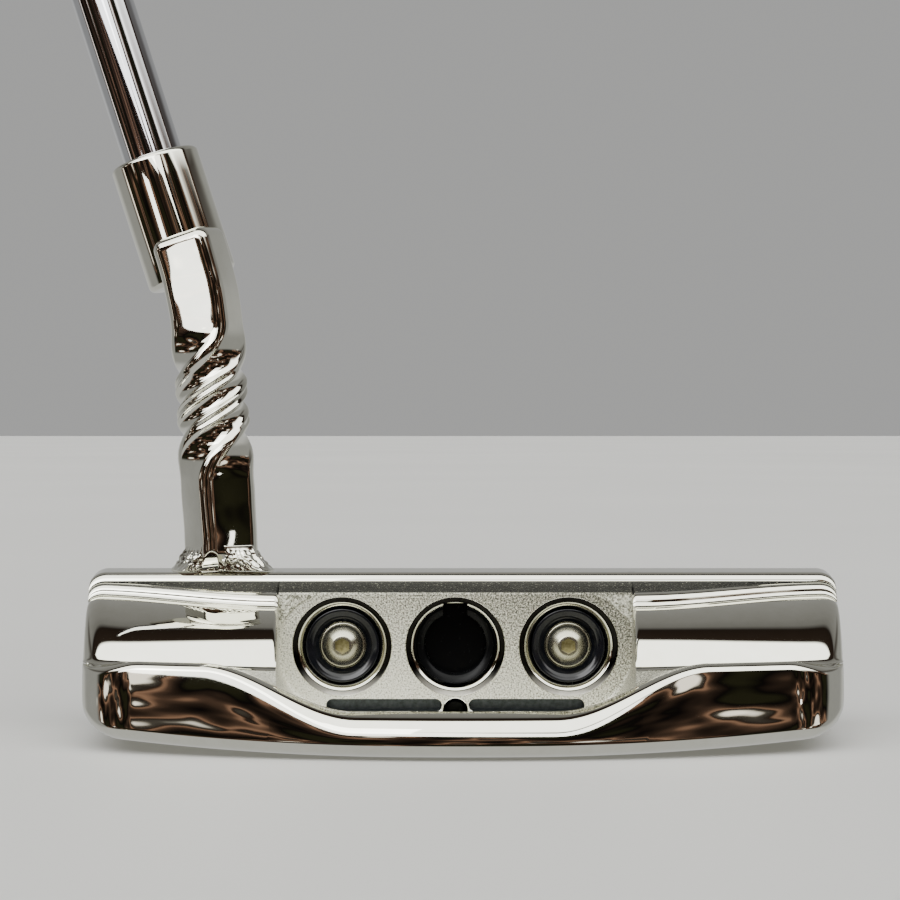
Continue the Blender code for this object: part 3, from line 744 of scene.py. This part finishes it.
def head_section(x, in_pocket, drop):
    """The head's outline in the YZ plane at x, and the places along it where the finish changes."""
    rear = rear_y(x)
    sole = sole_z(x)
    sweep = smoothstep(abs(x - POCKET_X), RIM_LOW_END, RIM_HIGH_START)
    rim = RIM_LOW_Z + (RIM_HIGH_Z - RIM_LOW_Z) * sweep
    rim -= RIM_END_DROP * smoothstep(abs(x), HALF_LENGTH - 9.0, HALF_LENGTH - 1.0)
    inward = 1.0 - smoothstep(abs(x - POCKET_X), POCKET_HALF, HALF_LENGTH)
    ledge_y = LEDGE_END_Y - LEDGE_SET_BACK * inward
    ledge_z = LEDGE_END_Z - LEDGE_FALL * inward
    step_z = ledge_z - STEP_HEIGHT - STEP_GROWTH * inward
    foot_z = WING_FOOT_Z - WING_FOOT_FALL * inward
    floor = pocket_floor(x)
    edge_centre = (face_y(sole + FACE_SOLE_ROUND) - FACE_SOLE_ROUND, sole + FACE_SOLE_ROUND)
    outline = arc(edge_centre, FACE_SOLE_ROUND, 0, -90, 8)
    outline += [(8.0, sole), (0.0, sole), (-8.0, sole)]
    rim_round = RIM_LOW_ROUND + (RIM_ROUND - RIM_LOW_ROUND) * sweep
    rear_outline, crest_y = rear_profile(rear, sole, rim, rim_round)
    valley_y = WING_FOOT_Y - 1.2
    lip_y = max(POCKET_LIP_Y, rear + LIP_WALL)
    ledge_start = lip_y + 1.5

    def rim_ledge(y):
        t = min(max((y - crest_y) / (valley_y - crest_y), 0.0), 1.0)
        return rim + (foot_z - rim) * t * t

    if in_pocket:
        wall_foot = sole + REAR_SOLE_ROUND
        rear_outline = [(min(y, lip_y - 0.02) if z > wall_foot else y, z) for y, z in rear_outline]
    outline += rear_outline
    polished_end = len(outline)
    if in_pocket:
        outline += pocket_lip(lip_y, min(outline[-1][1], rim), floor)
    else:
        for i in range(12):
            y = crest_y + (ledge_start - crest_y) * (i + 1.0) / 13.0
            outline.append((y, rim_ledge(y)))

    step_y = ledge_y - 0.3
    for y, z in wing_surface(ledge_start, valley_y, step_y - 0.9, foot_z, step_z, rim_ledge):
        if in_pocket:
            y = min(y, -1.05)
            z = soft_min(z, floor, 0.5)
        elif drop > 0.0:
            z -= drop * min(max((z - POCKET_WALL_Z) / EDGE_ROUND, 0.0), 1.0)
        outline.append((y, z))

    if in_pocket:
        outline += arc((-PANEL_FOOT_ROUND, floor + PANEL_FOOT_ROUND), PANEL_FOOT_ROUND, 270, 360, 8)
        outline += arc((PANEL_TOP_ROUND, ledge_z - PANEL_TOP_ROUND), PANEL_TOP_ROUND, 180, 90, 9)
    else:
        outline += step_profile(step_y, step_z - drop, ledge_z - step_z, TOPLINE_LEAN)
    ledge_begin = len(outline) - 1
    drop_z = TOP_Z - TOPLINE_DROP
    ledge_y, ledge_z = outline[-1]
    outline.append((0.5 * (ledge_y + TOPLINE_REAR_Y), 0.5 * (ledge_z + drop_z) - 0.1))
    outline.append((TOPLINE_REAR_Y, drop_z))
    ledge_end = len(outline)
    crown_centre = (TOPLINE_REAR_Y + 0.1 + TOPLINE_CROWN * cos(TOPLINE_LEAN), TOP_Z - 0.2 - TOPLINE_CROWN)
    outline += arc(crown_centre, TOPLINE_CROWN, 170, 95, 12)
    outline += [(7.0, TOP_Z - 0.13), (9.5, TOP_Z - 0.05), (face_y(TOP_Z) - 1.6, TOP_Z)]
    outline += arc((face_y(TOP_Z) - FACE_TOP_ROUND, TOP_Z - FACE_TOP_ROUND), FACE_TOP_ROUND, 90, 3, 7)
    outline += [(face_y(16.0), 16.0), (face_y(8.0), 8.0)]
    return outline, polished_end, ledge_begin, ledge_end


def squeezed(value, centre, edge, loss):
    return centre + (value - centre) * (1.0 - loss / abs(edge - centre))


def head_ring(x, in_pocket, drop):
    past_end = abs(x) - HALF_LENGTH
    corners = (TOP_CORNER, SOLE_CORNER, REAR_CORNER, FRONT_CORNER)
    top_loss, sole_loss, rear_loss, front_loss = [0.8 * corner_loss(past_end + r, r) for r in corners]
    outline, polished_end, ledge_begin, ledge_end = head_section(x, in_pocket, drop)
    ring = []
    for y, z in outline:
        if z > FACE_MID_Z:
            z = squeezed(z, FACE_MID_Z, TOP_Z, top_loss)
        else:
            z = squeezed(z, FACE_MID_Z, 0.0, sole_loss)
        if y > 0.0:
            y = squeezed(y, 0.0, FACE_Y, front_loss)
        else:
            y = squeezed(y, 0.0, rear_y(x), rear_loss)
        ring.append((x * (1.0 - END_TAPER * (FACE_Y - y)), y, z))
    return ring, polished_end, ledge_begin, ledge_end


def head_stations():
    """(x, in the pocket, edge rounding) for each section, heel to toe."""
    inside = list(np.arange(0.0, POCKET_HALF - POCKET_RADIUS, 1.0))
    inside += [POCKET_HALF - POCKET_RADIUS * (1.0 - sin(radians(a))) for a in range(0, 90, 5)]
    inside += [POCKET_HALF - 0.02]
    edge = []
    for angle in range(0, 91, 15):
        along = EDGE_ROUND * (1.0 - cos(radians(angle)))
        edge.append((POCKET_HALF + along, EDGE_ROUND * (1.0 - sin(radians(angle)))))
    stations = []
    for side in (-1.0, 1.0):
        half = [(POCKET_X + side * d, True, 0.0) for d in inside]
        half += [(POCKET_X + side * d, False, drop) for d, drop in edge]
        end = HALF_LENGTH - REAR_CORNER
        start = abs(POCKET_X + side * (POCKET_HALF + EDGE_ROUND))
        count = int((end - start) / 0.8)
        half += [(side * (start + (end - start) * i / count), False, 0.0) for i in range(1, count + 1)]
        for angle in list(range(4, 88, 4)) + [88, 90]:
            half.append((side * (HALF_LENGTH - REAR_CORNER * (1.0 - sin(radians(angle)))), False, 0.0))
        if side < 0:
            stations = half[:0:-1]
        else:
            stations += half
    return stations


def head_face_paint(stations, around, polished_end, ledge_begin, ledge_end):
    """Material index of each face: coarse ledge, blasted panel and rear shelf."""
    face_paint = []
    for (_, pocket0, _), (x1, pocket1, _) in zip(stations, stations[1:]):
        for i in range(around):
            in_panel = (pocket0 or pocket1) and polished_end + 4 <= i < ledge_begin
            on_shelf = polished_end <= i < polished_end + 20 and abs(x1 - POCKET_X) < SHELF_END
            elsewhere = COARSE if ledge_begin <= i < ledge_end - 1 else POLISHED
            face_paint.append(BLASTED if in_panel or on_shelf else elsewhere)
    return face_paint + [POLISHED, POLISHED]


def make_head(polished, blasted, coarse, slot_paint):
    stations = head_stations()
    rings = [head_ring(*station) for station in stations]
    points = [ring[0] for ring in rings]
    face_paint = head_face_paint(stations, len(points[0]), *rings[0][1:])
    head = lofted_piece("head_skin", points, [polished, blasted, coarse], face_paint)
    for place in PLACES:
        profile = [(0.0, -1.0), (PORT_MOUTH_RADIUS, -1.0), (PORT_MOUTH_RADIUS, 8.0), (0.0, 8.0)]
        subtract(head, turned_piece("port_hole", profile, [blasted], centre=port_centre(place)))
    for side in (-1.0, 1.0):
        # The slots' walls take the cutter's painted-shade grey
        subtract(head, slot_cutter(side, slot_paint))
    drain = [(0.0, -3.0), (DRAIN_RADIUS, -3.0), (DRAIN_RADIUS, DRAIN_DEPTH), (0.0, DRAIN_DEPTH)]
    subtract(head, turned_piece("drain_hole", drain, [blasted], centre=(POCKET_X, 0.0, DRAIN_Z), steps=48))
    resmooth(head, 38.0)
    # Large flats stay flat; the small round faces beside them take the bending
    modifier = head.modifiers.new("weighted_normal", "WEIGHTED_NORMAL")
    modifier.keep_sharp = True
    modifier.weight = 60
    hand_over(head, "putter", "head_body")


def slot_cutter(side, paint):
    """A long slot with round ends."""
    centre_x = POCKET_X + side * (SLOT_BOSS + SLOT_LENGTH) / 2.0
    end_round = SLOT_HEIGHT / 2.0
    reach = (SLOT_LENGTH - SLOT_HEIGHT) / 2.0
    outline = []
    for end in (1.0, -1.0):
        for i in range(13):
            angle = radians(-90.0 + 15.0 * i)
            x = centre_x + end * (reach + end_round * cos(angle))
            outline.append((x, SLOT_Z + end * end_round * sin(angle)))
    return lofted_piece("slot", [[(x, y, z) for x, z in outline] for y in (-2.0, SLOT_DEPTH)], [paint])


# Ports, weights and screws


def port_centre(place):
    return (POCKET_X + PORT_PITCH * PLACES[place], 0.0, PORT_Z)


def make_port(place, polished, dark, shadow):
    """A countersunk mouth: an outer facet painted dark above and bright below as shade and reflection, a
    bright inner one and the bore behind them, painted near black as shade.
    """
    back = PORT_DEPTH + 1.0
    profile = [(PORT_MOUTH_RADIUS, back), (PORT_MOUTH_RADIUS, 0.06)]
    profile += arc((PORT_MOUTH_RADIUS - 0.1, 0.1), 0.1, 0, -70, 4)
    bands = [POLISHED] * (len(profile) - 1)
    outer = []
    for t in (0.08, 0.25, 0.45, 0.65, 0.85, 1.0):
        outer.append((PORT_LIP_RADIUS + 0.02 + OUTER_FACET_WIDTH * (1 - t), OUTER_FACET_DEPTH * t**1.15))
    lip = arc((PORT_LIP_RADIUS - 0.08, 0.58), 0.1, 20, -60, 4)
    width = PORT_LIP_RADIUS - 0.06 - PORT_RADIUS
    inner = []
    for t in (0.06, 0.2, 0.4, 0.6, 0.8, 1.0):
        inner.append((PORT_RADIUS + width * (1 - t), INNER_FACET_START + INNER_FACET_DEPTH * t**1.25))
    profile += outer + lip + inner
    # The outer facet takes the painted shade and reflection; the bore's bands, set below, take the
    # near-black painted shade
    bands += [SHADOW] * len(outer) + [POLISHED] * (len(lip) + len(inner))
    if place == "centre":
        floor = PORT_DEPTH + 0.6
        profile += [(PORT_RADIUS, 3.0), (5.2, 3.15), (4.75, 3.45), (4.6, 3.95), (4.55, floor), (0.0, floor)]
        profile = [(0.0, back)] + profile
        bands = [POLISHED] + bands + [DARK] * 6
    else:
        profile += [(PORT_RADIUS, PORT_DEPTH), (2.0, PORT_DEPTH), (2.0, back)]
        bands += [DARK, DARK, DARK, POLISHED]
    paints = [polished, dark, shadow]
    port = turned_piece(place + "_port", profile, paints, bands, centre=port_centre(place), steps=144)
    if place == "centre":
        low = (POCKET_X - KEY_HALF_WIDTH, KEY_FRONT_Y, PORT_Z)
        high = (POCKET_X + KEY_HALF_WIDTH, KEY_BACK_Y, PORT_Z + KEY_REACH)
        subtract(port, box_piece("key", low, high, dark))
        resmooth(port, 35.0)
    hand_over(port, "putter", "head_body")


def make_drain(polished, dark):
    """A small countersunk ring round the drain hole, cut level with the pocket's floor."""
    rim = DRAIN_RADIUS - 0.07
    bore = DRAIN_RADIUS - 0.7
    profile = [(0.0, 3.9), (DRAIN_RADIUS, 3.9), (DRAIN_RADIUS, 0.0), (rim, -0.05)]
    profile += [(bore + 0.05, 0.75), (bore, 0.9), (bore, 3.5), (0.0, 3.5)]
    # The bore takes the near-black painted shade
    bands = [POLISHED] * 5 + [DARK] * 3
    centre = (POCKET_X, 0.0, DRAIN_Z)
    ring = turned_piece("drain_ring", profile, [polished, dark], bands, centre=centre, steps=64)
    hand_over(ring, "putter", "head_body")


def make_spandrels(paint):
    """Coarser corners outside the panel's round-ended field, just proud of it."""
    for side, name in ((-1.0, "heel_corner"), (1.0, "toe_corner")):
        outline = []
        for i in range(25):
            angle = radians(2.0 + 86.0 * i / 24.0)
            across = POCKET_HALF - POCKET_RADIUS * (1.0 - cos(angle))
            z = POCKET_FLOOR_Z + POCKET_RADIUS * (1.0 + sin(angle))
            if z < CORNER_TOP_Z - 0.05:
                outline.append((POCKET_X + side * across, z))
        edge_x = POCKET_X + side * (POCKET_HALF - 0.05)
        outline += [(outline[-1][0], CORNER_TOP_Z), (edge_x, CORNER_TOP_Z), (edge_x, outline[0][1])]
        rings = [[(x, y, z) for x, z in outline] for y in (0.2, -0.09)]
        rings.append([(x + side * 0.08, -CORNER_PROUD, z + 0.05) for x, z in outline])
        corner = lofted_piece(name, rings, [paint], None, 25.0)
        hand_over(corner, "putter", "head_body")


def make_weight(place, black, steel):
    """A dished black weight with a turned lip and a bright seat round its screw."""
    rear, front = ends_of(place + "_weight")
    profile = [(2.0, front), (WEIGHT_RADIUS, front), (WEIGHT_RADIUS, rear + 0.75)]
    profile += [(5.5, rear + 0.62), (5.35, rear + 0.56), (5.15, rear + 0.6)]
    for i in range(9):
        t = i / 8.0
        profile.append((5.05 - 1.45 * t, rear + 0.66 + 1.15 * t - 0.22 * sin(pi * t)))
    bands = [0] * len(profile) + [1, 0, 0, 0]
    profile += [(3.52, rear + 1.84), (3.46, rear + 1.9), (3.44, rear + 2.4), (2.0, rear + 2.4)]
    name = place + "_weight"
    weight = turned_piece(name + "_skin", profile, [black, steel], bands, 128, port_centre(place))
    hand_over(weight, name, name)


def make_washer(place, steel):
    """A flat washer with rolled edges and two fine turned rings on its face."""
    rear, front = ends_of(place + "_washer")
    low, high = cad_box(place + "_washer")
    outer = (high[0] - low[0]) / 2.0
    inner = 1.95
    profile = [(inner, front), (inner, rear + 0.1), (inner + 0.1, rear)]
    for groove in (2.4, 2.85):
        profile += [(groove - 0.08, rear), (groove, rear + 0.05), (groove + 0.08, rear)]
    profile += arc((outer - 0.2, rear + 0.2), 0.2, -90, 0, 5)
    profile += arc((outer - 0.1, front - 0.1), 0.1, 0, 90, 4)
    washer = turned_piece(place + "_washer_skin", profile, [steel], centre=port_centre(place))
    hand_over(washer, place + "_weight", place + "_washer")


def make_screw(place, steel, brass):
    """A button-head screw: domed head, flat crown, hex socket with a chamfered mouth."""
    top, end = ends_of(place + "_screw")
    centre = port_centre(place)
    steps = 96
    rings = [turned_ring(centre, 0.0, top + HEX_DEPTH + 0.1, steps)]
    for half_width, depth in ((HEX_HALF, HEX_DEPTH), (HEX_HALF, 0.1), (HEX_HALF + 0.08, 0.0)):
        rings.append(turned_ring(centre, half_width, top + depth, steps, hexagonal=True))
    outer = [(SCREW_CROWN_RADIUS - 0.1, top)]
    for i in range(17):
        t = i / 16.0
        radius = SCREW_CROWN_RADIUS + (SCREW_HEAD_RADIUS - SCREW_CROWN_RADIUS) * t
        outer.append((radius, top + 0.03 + SCREW_DOME_HEIGHT * (0.75 * t + 0.25 * t**3)))
    under_head = top + SCREW_HEAD_HEIGHT
    outer += [(SCREW_HEAD_RADIUS, under_head), (SCREW_RADIUS, under_head)]
    outer += [(SCREW_RADIUS, end - 0.4), (SCREW_RADIUS - 0.4, end), (0.0, end)]
    rings += [turned_ring(centre, radius, y, steps) for radius, y in outer]
    screw = piece_from_rings(place + "_screw_skin", rings, [steel, brass], [1, 1, 0], 22.0)
    hand_over(screw, place + "_screw", place + "_screw")


# Neck


def bar_x(z):
    bend = BAR_BEND_SOFTNESS * log(1.0 + exp((z - BAR_BEND_Z) / BAR_BEND_SOFTNESS))
    return BAR_FOOT_X - BAR_LEAN * (z - BAR_FOOT_Z) - BAR_BEND * bend


def bar_ring(z, half, corner, steps=14):
    """The rounded square section, with fine forging folds where the twist is tightest."""
    turn = BAR_FOOT_TURN + (BAR_TOP_TURN - BAR_FOOT_TURN) * smoothstep(z, TWIST_START_Z, TWIST_END_Z)
    in_twist = smoothstep(z, TWIST_START_Z, TWIST_MIDDLE_Z)
    in_twist *= 1.0 - smoothstep(z, TWIST_MIDDLE_Z, TWIST_END_Z)
    folded = smoothstep(z, FOLDS_START_Z, FOLDS_START_Z + FOLDS_FADE)
    folded *= 1.0 - smoothstep(z, FOLDS_END_Z - FOLDS_FADE, FOLDS_END_Z)
    corner += (min(TWISTED_CORNER, half) - corner) * in_twist
    lean = atan2(bar_x(z - 0.5) - bar_x(z + 0.5), 1.0)
    room = FOOT_HALF_DEPTH + max(z - BAR_FOOT_Z, 0.0) * FOOT_SPREAD
    front_room = room - FOOT_FRONT_TRIM * (z < BAR_FOOT_Z + FOOT_TRIM_HEIGHT)
    ring = []
    for quarter in range(4):
        heading = turn + quarter * pi / 2.0
        for i in range(steps):
            angle = radians(90.0 * i / (steps - 1))
            across = half - corner + corner * cos(angle)
            deep = half - corner + corner * sin(angle)
            local = atan2(deep, across) + quarter * pi / 2.0
            wave = noise.noise(Vector((1.6 * cos(local), 1.6 * sin(local), z * 0.2))) * SURFACE_WAVE
            fold = FOLD_DEPTH * folded * cos(FOLDS * local)
            grow = 1.0 + (wave + fold) / half
            x = grow * (across * cos(heading) - deep * sin(heading))
            y = grow * (across * sin(heading) + deep * cos(heading))
            y = min(max(y, -room), front_room)
            ring.append((bar_x(z) + x * cos(lean), BAR_Y + y, z + x * sin(lean)))
    return ring


def make_neck(polished):
    """The twisted square bar, bent towards the socket, with a rounded top end."""
    rings = []
    for z in np.arange(BAR_FOOT_Z, BAR_TOP_Z - BAR_TOP_ROUND, 0.15):
        rings.append(bar_ring(z, BAR_HALF, BAR_CORNER))
    for i in range(1, 9):
        angle = radians(90.0 * i / 8.0)
        z = BAR_TOP_Z - BAR_TOP_ROUND + BAR_TOP_ROUND * sin(angle)
        inset = BAR_TOP_ROUND * (1.0 - cos(angle))
        rings.append(bar_ring(z, BAR_HALF - inset, BAR_CORNER - 0.8 * inset))
    bar = lofted_piece("twisted_bar", rings, [polished])
    hand_over(bar, "putter", "neck_bar")


def make_weld_bead(polished):
    """A lumpy, rippled weld round the bar's foot, ground level with the topline's two edges."""
    levels = 30
    around = 220
    rings = []
    for level in range(levels + 1):
        t = level / levels
        z = BAR_FOOT_Z + (BEAD_TOP_Z - BAR_FOOT_Z) * t
        fade = sin(pi * min(max(t * 1.15, 0.0), 1.0))
        ground = BEAD_HALF_DEPTH + 0.5 * t
        ring = []
        for i in range(around):
            angle = 2.0 * pi * i / around
            square = BAR_HALF / max(abs(cos(angle - BAR_FOOT_TURN)), abs(sin(angle - BAR_FOOT_TURN)))
            inside = min(square, BAR_HALF * 1.22)
            lump = noise.noise(Vector((3.0 * cos(angle), 3.0 * sin(angle), z * 0.5)))
            grain = noise.noise(Vector((11.0 * cos(angle), 11.0 * sin(angle), z * 2.4)))
            ripple = abs(sin(15.0 * angle + 2.4 * t + 2.5 * lump)) - 0.5 + 0.7 * grain
            reach = inside - 0.25 + BEAD_REACH * (1.0 - t) ** 1.7 + 0.3 * lump * fade
            swell = BEAD_RIPPLE * ripple * fade
            y = min(max(reach * sin(angle), -ground), ground) + swell * sin(angle)
            x = bar_x(z) + (reach + swell) * cos(angle)
            ring.append((x, BAR_Y + y - BEAD_SET_BACK, z))
        rings.append(ring)
    bead = lofted_piece("weld_bead", rings, [polished])
    hand_over(bead, "putter", "neck_weld_bead")


# Shaft and grip


def along_shaft(piece):
    """Stand a piece made along +Z from the ground point onto the shaft's line."""
    turn = Matrix.Rotation(LIE - pi / 2.0, 4, "Y")
    piece.data.transform(Matrix.Translation(Vector((SHAFT_GROUND_X, SHAFT_Y, 0.0)) * MM) @ turn)


def turned_upright(name, profile, paint, steps=96):
    """A piece turned about +Z from (radius, height) points, then laid on the shaft's line."""
    piece = turned_piece(name, profile, [paint], steps=steps)
    piece.data.transform(Matrix.Rotation(radians(90.0), 4, "X"))
    outward(piece)
    along_shaft(piece)
    return piece


def shaft_radius(distance):
    growth = smoothstep(distance, SOCKET_END, PUTTER_LENGTH)
    return SHAFT_TIP_RADIUS + (SHAFT_BUTT_RADIUS - SHAFT_TIP_RADIUS) * growth


def make_socket(polished):
    """The round socket, its ends rounded and its mouth relieved round the shaft."""
    inner = SHAFT_TIP_RADIUS + 0.08
    start, end = SOCKET_START, SOCKET_END
    profile = [(0.0, start)]
    profile += arc((SOCKET_RADIUS - 0.9, start + 0.9), 0.9, -90, 0, 9)
    for t in (0.2, 0.4, 0.6, 0.8):
        profile.append((SOCKET_RADIUS, start + (end - start) * t))
    profile += arc((SOCKET_RADIUS - 0.8, end - 0.8), 0.8, 0, 75, 9)
    profile += [(inner + 0.6, end), (inner + 0.2, end - 0.15), (inner, end - 0.5)]
    profile += [(inner, start + 2.0), (0.0, start + 2.0)]
    socket = turned_upright("socket_skin", profile, polished)
    hand_over(socket, "putter", "hosel_socket")


def make_shaft(chrome):
    """A stepped steel tube; each step is a short cone where the tube grows."""
    start = SOCKET_START + 2.4
    end = PUTTER_LENGTH - GRIP_CAP_LENGTH - 0.4
    profile = [(shaft_radius(start) - SHAFT_WALL, start), (shaft_radius(start), start)]
    distance = FIRST_STEP
    radius = SHAFT_TIP_RADIUS
    while distance < end - STEP_PITCH:
        grown = shaft_radius(distance) - 0.02
        profile += [(radius, distance - 0.9), (grown, distance + 0.3)]
        radius = grown
        distance += STEP_PITCH
    profile += [(radius, end), (radius - SHAFT_WALL, end)]
    shaft = turned_upright("shaft_skin", profile, chrome, steps=72)
    hand_over(shaft, "putter", "shaft")


def grip_section(distance, angle):
    """A pistol grip's outline: round at the back, flat where the thumbs lie."""
    t = (distance - PUTTER_LENGTH + GRIP_LENGTH) / GRIP_LENGTH
    width = GRIP_HALF_WIDTH + GRIP_WIDTH_GROWTH * smoothstep(t, 0.0, 0.9)
    if sin(angle) > 0.0:
        depth = GRIP_HALF_DEPTH + GRIP_FRONT_GROWTH * smoothstep(t, 0.0, 0.9)
        power = GRIP_FRONT_POWER
    else:
        waist = GRIP_WAIST * smoothstep(t, 0.45, 0.6) * (1.0 - smoothstep(t, 0.6, 0.8))
        depth = GRIP_HALF_DEPTH + GRIP_BACK_GROWTH * smoothstep(t, 0.25, 0.95) - waist
        power = GRIP_BACK_POWER
    x = width * abs(cos(angle)) ** power * (1.0 if cos(angle) >= 0.0 else -1.0)
    y = depth * abs(sin(angle)) ** power * (1.0 if sin(angle) >= 0.0 else -1.0)
    return x, y


def grip_groove(distance, angle):
    """Depth of the pattern: short slanted grooves down both sides, away from the grip's ends."""
    t = (distance - PUTTER_LENGTH + GRIP_LENGTH) / GRIP_LENGTH
    if t < 0.06 or t > 0.94:
        return 0.0
    around = abs((angle - pi / 2.0 + pi) % (2.0 * pi) - pi)
    band = smoothstep(around, 0.75, 0.82) * (1.0 - smoothstep(around, 2.1, 2.17))
    phase = (distance + 6.0 * around) % GROOVE_PITCH
    slanted = smoothstep(phase, 0.0, 0.5) * (1.0 - smoothstep(phase, 1.1, 1.6))
    return GROOVE_DEPTH * band * slanted


def grip_outline(distance, around):
    """(angle, x, y) round the grip's section."""
    angles = [2.0 * pi * i / around for i in range(around)]
    return [(angle, *grip_section(distance, angle)) for angle in angles]


def make_grip(rubber):
    """The grooved rubber sleeve, open for the shaft, with a thinner lip at its mouth."""
    start = PUTTER_LENGTH - GRIP_LENGTH
    end = PUTTER_LENGTH - GRIP_CAP_LENGTH - 0.3
    around = 128
    levels = 420
    bore = SHAFT_BUTT_RADIUS + GRIP_BORE_GAP
    rings = [circle(bore, start, around)]
    for level in range(levels + 1):
        distance = start + (end - start) * level / levels
        lip = min(1.0, 0.86 + 0.14 * sqrt(min((distance - start) / 1.5, 1.0)))
        ring = []
        for angle, x, y in grip_outline(distance, around):
            size = lip * (1.0 - grip_groove(distance, angle) / sqrt(x * x + y * y))
            ring.append((x * size, y * size, distance))
        rings.append(ring)
    rings.append(circle(bore, end, around))
    verts = [point for ring in rings for point in ring]
    grip = new_piece("grip_skin", verts, ring_faces(len(rings), around, True), [rubber], None, 50.0)
    along_shaft(grip)
    hand_over(grip, "putter", "grip")


def make_cap(rubber):
    """The grip's end cap with a rounded edge and a vent hole."""
    around = 96
    start = PUTTER_LENGTH - GRIP_CAP_LENGTH
    levels = [(0.97, 0.0), (0.99, 0.15), (0.99, 2.8)]
    for angle in range(15, 91, 15):
        levels.append((0.99 - 0.2 * (1.0 - cos(radians(angle))), 2.8 + 2.2 * sin(radians(angle))))
    levels += [(0.55, 5.0), (0.3, 4.95)]
    outline = grip_outline(PUTTER_LENGTH, around)
    rings = [[(x * size, y * size, start + rise) for _, x, y in outline] for size, rise in levels]
    rings += [circle(radius, start + rise, around) for radius, rise in ((1.7, 4.9), (1.5, 4.7), (1.5, 1.5))]
    cap = lofted_piece("cap_skin", rings, [rubber], None, 40.0)
    along_shaft(cap)
    hand_over(cap, "putter", "grip_cap")


# Stage


def make_stage():
    bpy.ops.mesh.primitive_plane_add(size=12.0, location=(0.0, 0.0, -0.0001))
    floor = bpy.context.object
    floor.name = "studio_floor"
    floor.data.materials.append(floor_paint())
    floor.visible_glossy = False


def make_card(name, place, aim, width, height, power):
    """A soft white card outside the picture, there for the metal to reflect."""
    data = bpy.data.lights.new(name, "AREA")
    data.shape = "RECTANGLE"
    data.size = width
    data.size_y = height
    data.energy = power
    card = linked(name, data)
    card.location = place
    card.rotation_euler = (Vector(aim) - Vector(place)).to_track_quat("-Z", "Y").to_euler()
    card.visible_camera = False
    card.visible_diffuse = False


def make_world():
    """Studio surround by direction: pale ahead, a white softbox overhead, a dim room behind the camera."""
    world = bpy.data.worlds.new("studio")
    world.use_nodes = True
    bpy.context.scene.world = world
    sky = Nodes(world.node_tree, "Generated")
    x, y, z = sky.axes()
    angle = sky.math("ARCTAN2", sky.math("MAXIMUM", z, 0.0), y)
    turn = sky.math("DIVIDE", angle, pi)
    white = (SOFTBOX, SOFTBOX, SOFTBOX * 0.965)
    overhead_stops = [
        (0.00, (0.60, 0.60, 0.59)),
        (0.10, (0.36, 0.36, 0.355)),
        (0.38, (0.24, 0.235, 0.23)),
        (0.425, (0.19, 0.185, 0.18)),
        (0.45, (0.02, 0.014, 0.011)),
        (0.522, (0.03, 0.02, 0.015)),
        (0.535, white),
        (0.80, white),
        (0.825, (0.03, 0.02, 0.015)),
    ]
    room_stops = [
        (0.38, (0.020, 0.019, 0.010)),
        (0.44, (0.005, 0.004, 0.004)),
        (0.50, (0.030, 0.019, 0.014)),
        (0.54, (0.085, 0.050, 0.035)),
        (0.575, (0.34, 0.19, 0.125)),
        (0.59, (0.02, 0.013, 0.010)),
        (0.63, (0.08, 0.07, 0.06)),
        (0.66, (1.8, 1.65, 1.5)),
    ]
    overhead = sky.ramp(turn, overhead_stops)
    room = sky.ramp(sky.noise(ROOM_BLOTCH_SCALE, ROOM_BLOTCH_DETAIL), room_stops)
    surround = sky.mix(sky.fade(turn, 0.815, 0.83), overhead, room)
    # Beyond the softbox's ends: grey flats ahead, the room behind
    wide = sky.fade(sky.math("ABSOLUTE", x), 0.62, 0.86)
    ahead = sky.fade(y, -0.02, 0.12)
    flats = sky.ramp(z, [(0.0, FLAT_GREY), (0.3, FLAT_GREY), (0.45, (0.05, 0.04, 0.035))])
    below_softbox = sky.fade(z, 0.55, 0.42)
    beyond = sky.math("MULTIPLY", wide, below_softbox)
    flanked = sky.mix(beyond, surround, sky.mix(ahead, room, flats))
    # The pale floor, seen steeply below the horizon
    studio = sky.mix(sky.fade(z, -0.46, -0.58), flanked, REFLECTED_FLOOR)
    # Looked at directly, the surround is a plain pale backdrop
    camera_ray = sky.add("ShaderNodeLightPath", {})["Is Camera Ray"]
    sky.fill(sky.tree.nodes["Background"], {"Color": sky.mix(camera_ray, studio, BACKDROP)})


def make_camera():
    data = bpy.data.cameras.new("camera")
    data.lens = CAMERA_LENS
    data.sensor_width = SENSOR_WIDTH
    data.shift_y = CAMERA_SHIFT_Y
    data.clip_start = 0.01
    data.clip_end = 50.0
    camera = linked("camera", data)
    camera.location = (CAMERA_X * MM, CAMERA_Y * MM, CAMERA_Z * MM)
    camera.rotation_euler = (radians(90.0), 0.0, 0.0)
    bpy.context.scene.camera = camera


def repaint(node, paint):
    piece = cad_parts[node]
    piece.data.materials.clear()
    piece.data.materials.append(paint)


def main():
    make_camera()
    make_stage()
    make_world()
    for card in CARDS:
        make_card(*card)
    polished = polished_nickel()
    blasted = blasted_nickel()
    black = black_gloss()
    dark = bore_painted_shade()
    steel = screw_steel()
    brass = socket_brass()
    chrome = shaft_chrome()
    rubber = grip_rubber()
    make_head(polished, blasted, coarse_nickel(), slot_painted_shade())
    shadow = shadow_nickel()
    for place in PLACES:
        make_port(place, polished, dark, shadow)
    make_drain(polished, dark)
    make_spandrels(corner_nickel_painted_shade())
    for place in ("heel", "toe"):
        make_weight(place, black, steel)
        make_screw(place, steel, brass)
    make_neck(polished)
    make_weld_bead(polished)
    make_socket(polished)
    make_shaft(chrome)
    make_grip(rubber)
    make_cap(rubber)
    for place in ("heel", "toe"):
        make_washer(place, steel)
    repaint("shaft_tip_plug", plug_cork())
    repaint("grip_tape", tape_paper())


main()
